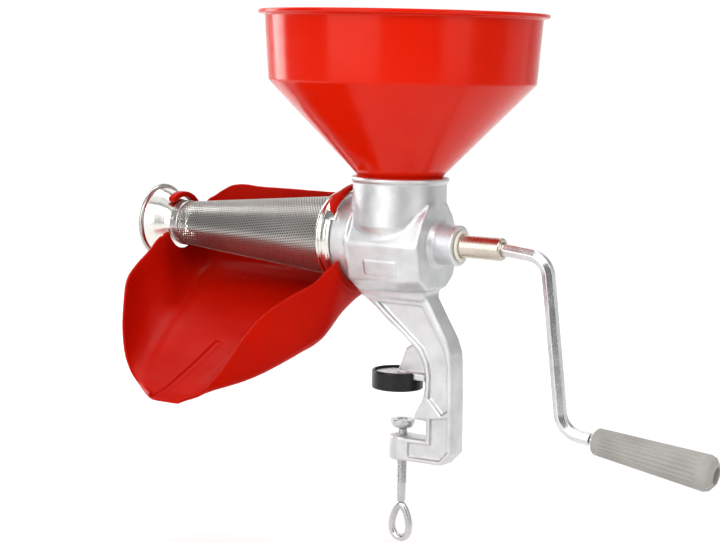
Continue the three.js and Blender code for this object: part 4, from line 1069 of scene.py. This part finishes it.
def build_tray():
    h = 1.0
    G = np.array([tray_section(s) for s in TRAY])
    G[..., 2] += AX
    G = spline(G, 3.0, 0)
    G = spline(G, 3.0, 1)
    du, dv = np.gradient(G, axis=0), np.gradient(G, axis=1)
    nrm = np.cross(du, dv)
    nrm /= np.linalg.norm(nrm, axis=2)[..., None]
    M = G - nrm * THICK / 2                                   # middle of the sheet
    # pull the rims in by half the thickness, so that their rounded edges end where the CAD's do
    for sl0, sl1 in (((0,), (1,)), ((-1,), (-2,))):
        e = M[sl1[0]] - M[sl0[0]]
        M[sl0[0]] += e / np.linalg.norm(e, axis=1)[:, None] * 1.1
    for a_, b_ in ((0, 1), (-1, -2)):
        e = M[:, b_] - M[:, a_]
        ln = np.linalg.norm(e, axis=1)[:, None]
        M[:, a_] += e / ln * np.minimum(1.1, ln * .9)
    nr, nc, _ = M.shape
    idx = np.arange(nr * nc).reshape(nr, nc)
    quads = np.stack([idx[:-1, :-1], idx[1:, :-1], idx[1:, 1:], idx[:-1, 1:]], -1).reshape(-1, 4)
    tris = np.concatenate([quads[:, [0, 1, 2]], quads[:, [0, 2, 3]]])
    bvh = BVHTree.FromPolygons([tuple(p) for p in M.reshape(-1, 3)], [tuple(int(i) for i in q) for q in tris], all_triangles=True)
    lo = np.array([-214.5, -158.5, -2.5])
    hi = np.array([-28.0, 46.0, AX + 43.5])
    X, Y, Z = grid(lo, hi, h)
    shp = (X.size, Y.size, Z.size)
    F = np.full(shp, 3.0)
    # voxels near the sheet
    near = np.zeros(shp, bool)
    for fu in np.linspace(0, 1, 5):
        for fv in np.linspace(0, 1, 5):
            p = (M[:-1, :-1] * (1 - fu) * (1 - fv) + M[1:, :-1] * fu * (1 - fv) + M[1:, 1:] * fu * fv + M[:-1, 1:] * (1 - fu) * fv).reshape(-1, 3)
            k = np.round((p - lo) / h).astype(int)
            near[tuple(k.T)] = True
    for _ in range(3):
        grow = near.copy()
        for ax in range(3):
            grow |= np.roll(near, 1, ax) | np.roll(near, -1, ax)
        near = grow
    cells = np.argwhere(near)
    pts = cells * h + lo
    find = bvh.find_nearest
    dist = np.array([find(p)[3] for p in pts.tolist()])
    F[tuple(cells.T)] = np.minimum(3.0, dist - THICK / 2)
    z = Z - AX
    rx = np.hypot(Y, z)
    ang = np.degrees(np.arctan2(z, Y))

    def arc(ri, ro, x0, x1, a0, a1, k=0.8):
        mid, half = (a0 + a1) / 2, (a1 - a0) / 2
        da = np.abs((ang - mid + 180) % 360 - 180)
        ring = smax(rx - ro, ri - rx, k)
        ring = smax(ring, np.abs(X - (x0 + x1) / 2) - (x1 - x0) / 2, k)
        return smax(ring, (da - half) * (math.pi / 180) * (ri + ro) / 2, k)

    for c in (arc(20.9, 25.6, -212, -205.4, -60, 126), arc(20.9, 27.4, -208.4, -205.4, -164, -50),
              arc(38.2, 41.8, -41, -36.4, -30, 128),
              arc(35, 41.4, -36.8, -34.2, -154, 0, .5)):
        F = smin(F, c, 1.4)
    # the arc broadens into a pointed finger over the flange
    fs = (slice(int((-49 - lo[0]) / h), int((-32 - lo[0]) / h)), slice(int((-43 - lo[1]) / h), int((8 - lo[1]) / h)), slice(int((AX + 12 - lo[2]) / h), int((AX + 43.4 - lo[2]) / h)))
    fx, fa, fr = X[fs[0]], ang[:, fs[1], fs[2]] * (math.pi / 180) * 40, rx[:, fs[1], fs[2]]
    fx, fa = np.broadcast_arrays(fx, fa)
    tip = poly2([(q * math.pi / 180 * 40, w) for q, w in ((94, -40.6), (112, -42.0), (128, -45.2), (135, -45.4), (148, -40.4), (148.5, -38.4), (141, -36.6), (94, -36.6))], fa, fx)
    F[fs] = smin(F[fs], smax(smax(fr - 41.6, 38.3 - fr, .7), tip, .8), 1.0)
    e1 = smax(poly2([(23.5, -10), (31.6, -10), (31.6, 15), (20, 14)], Y[0], z[0] + 0 * Y[0])[None], np.abs(X + 207.2) - 1.2, .5)
    e2 = smax(poly2([(35, -16), (40.6, -16), (41.6, 27.4), (33.6, 22), (36.8, 0)], Y[0], z[0] + 0 * Y[0])[None], np.abs(X + 35.5) - 1.3, .5)
    F = smin(smin(F, e1, 1.2), e2, 1.2)
    # keep clear of the filter, its outlet, the necks and the leg
    for r0, x0, x1 in ((20.9, -215, -205.3), (35.0, -37.4, -27), (38.2, -60, -36.8)):
        F = smax(F, -smax(rx - r0, np.abs(X - (x0 + x1) / 2) - (x1 - x0) / 2, 0.2), 0.4)
    F = smax(F, -smax(smax(np.abs(X + 17) - 17, np.abs(Y) - 11, .3), np.abs(Z - (AX - 47)) - 13, .3), 0.4)
    F = np.maximum(F, -155.85 - Y)
    v, q = surface(F, lo, h)
    # settle the vertices of the plain sheet exactly on its two faces, with a channel sunk in the upper one
    def sink(x, y):
        y0, half = -71.5, 2.9
        far = math.hypot(x + 118, max(0.0, y - y0))
        k = min(1.0, max(0.0, (half + 0.9 - far) / 1.8))
        return 1.65 * k * k * (3 - 2 * k)

    out = v.copy()
    for i, p in enumerate(v.tolist()):
        hit = bvh.find_nearest(p)
        if hit[0] is None or abs(hit[3] - 1.1) > 0.22:
            continue
        qv = np.array(hit[0])
        d = np.array(p) - qv
        out[i] = qv + d / np.linalg.norm(d) * (1.1 - (sink(p[0], p[1]) if d[2] > 0 else 0))
    r_ = np.hypot(v[:, 1], v[:, 2] - AX)
    spare = ((v[:, 0] < -204.2) & (r_ < 29)) | ((v[:, 0] > -48) & (r_ > 37) & (r_ < 43) & (v[:, 2] > AX)) | ((v[:, 0] > -43) & (r_ > 33) & (r_ < 43))
    out[spare] = v[spare]
    out[:, 1] = np.maximum(out[:, 1], -155.88)
    return out, q


v, f = build_tray()
put("tray_moulded", v, f, "tray", RED_TRAY, "red_tray", ["drip_tray"], smooth=70)

# ------------------------------------------------------------------ stage, light, camera
prof = []
for d in np.linspace(-3.0, 2.6, 24):
    prof.append((d, 0.0))
for a in np.linspace(0, 90, 24)[1:]:
    prof.append((2.6 + 1.6 * math.sin(rad(a)), 1.6 - 1.6 * math.cos(rad(a))))
prof.append((4.2, 4.5))
yaw, pitch, roll = rad(31.6881), rad(7.1512), rad(1.2282)
ahead = np.array([-math.sin(yaw), math.cos(yaw)])
across = np.array([math.cos(yaw), math.sin(yaw)])
fv, ff = [], []
cols = np.linspace(-6, 6, 13)
for d, hgt in prof:
    for c in cols:
        p = ahead * d + across * c
        fv.append((p[0], p[1], -0.1275 + hgt))
n = len(cols)
for i in range(len(prof) - 1):
    for j in range(n - 1):
        ff.append((i * n + j, i * n + j + 1, (i + 1) * n + j + 1, (i + 1) * n + j))
me = bpy.data.meshes.new("floor_sweep")
me.from_pydata(fv, [], ff)
me.polygons.foreach_set("use_smooth", [True] * len(me.polygons))
floor = bpy.data.objects.new("floor_sweep", me)
bpy.context.scene.collection.objects.link(floor)
me.materials.append(floor_material())

fwd = Vector((-math.sin(yaw) * math.cos(pitch), math.cos(yaw) * math.cos(pitch), -math.sin(pitch)))
right = Vector((math.cos(yaw), math.sin(yaw), 0))
up = right.cross(fwd)
R_ = right * math.cos(roll) + up * math.sin(roll)
U_ = up * math.cos(roll) - right * math.sin(roll)
cam_data = bpy.data.cameras.new("camera")
cam = bpy.data.objects.new("camera", cam_data)
bpy.context.scene.collection.objects.link(cam)
cam_data.sensor_fit = "HORIZONTAL"
cam_data.sensor_width = 36
cam_data.lens = 87.25
cam_data.clip_start, cam_data.clip_end = 0.05, 50
eye = Vector((0.67329, -1.14612, 0.25674))
M4 = Matrix.Identity(4)
for i in range(3):
    M4[i][0], M4[i][1], M4[i][2], M4[i][3] = R_[i], U_[i], -fwd[i], eye[i]
cam.matrix_world = M4
bpy.context.scene.camera = cam


def area(name, place, target, size, power, color=(1, 1, 1), size_y=None):
    l = bpy.data.lights.new(name, "AREA")
    l.energy, l.color = power, color
    l.shape = "RECTANGLE"
    l.size, l.size_y = size, size_y or size
    o = bpy.data.objects.new(name, l)
    bpy.context.scene.collection.objects.link(o)
    o.location = place
    o.rotation_euler = (Vector(target) - Vector(place)).to_track_quat("-Z", "Y").to_euler()
    return o


target = (0.0, 0.0, 0.08)


def spot(side, depth, height):
    p = across * side - ahead * depth
    return (p[0], p[1], height)




def softbox(name, turn, dist, wide, tall, base, power):
    """Upright panel round the object; turn is degrees from the camera's side, to the right."""
    a = rad(turn)
    p = across * math.sin(a) * dist - ahead * math.cos(a) * dist
    z = base + tall / 2
    return area(name, (p[0], p[1], z), (0, 0, z * 0.35 + 0.1), wide, power, size_y=tall)


softbox("box_left", -42, 1.7, 1.5, 1.6, -0.05, 21)
softbox("box_right", 42, 1.7, 0.8, 1.6, -0.05, 7.5)
softbox("box_side", 106, 1.6, 1.0, 1.5, -0.05, 3)
softbox("box_behind", -125, 1.7, 0.6, 1.5, -0.05, 19)
area("front_top", spot(0.15, 1.25, 1.45), target, 1.7, 15, size_y=0.95)
area("top", spot(-0.4, 0.1, 1.9), target, 1.1, 3.5)
back = ahead * 1.4
area("backdrop", (back[0], back[1], 3.0), (ahead[0] * 4.0, ahead[1] * 4.0, 0.7), 3.2, 140)
w = bpy.data.worlds.new("soft_white")
bpy.context.scene.world = w
w.use_nodes = True
wt = w.node_tree
tc = wt.nodes.new("ShaderNodeTexCoord")
sep = wt.nodes.new("ShaderNodeSeparateXYZ")
link(wt, tc.outputs["Generated"], sep.inputs[0])
sky = ramp(wt, span(wt, sep.outputs["Z"], 0, 1, -1, 1), [(0.0, (0.3, 0.3, 0.31)), (0.47, (0.4, 0.4, 0.41)), (0.55, (0.8, 0.8, 0.81)), (0.80, (0.98, 0.99, 1.0))])
link(wt, sky, wt.nodes["Background"].inputs["Color"])
wt.nodes["Background"].inputs["Strength"].default_value = 0.23
vs = bpy.context.scene.view_settings
vs.view_transform = "Standard"
vs.look = "None"
vs.exposure = -0.17
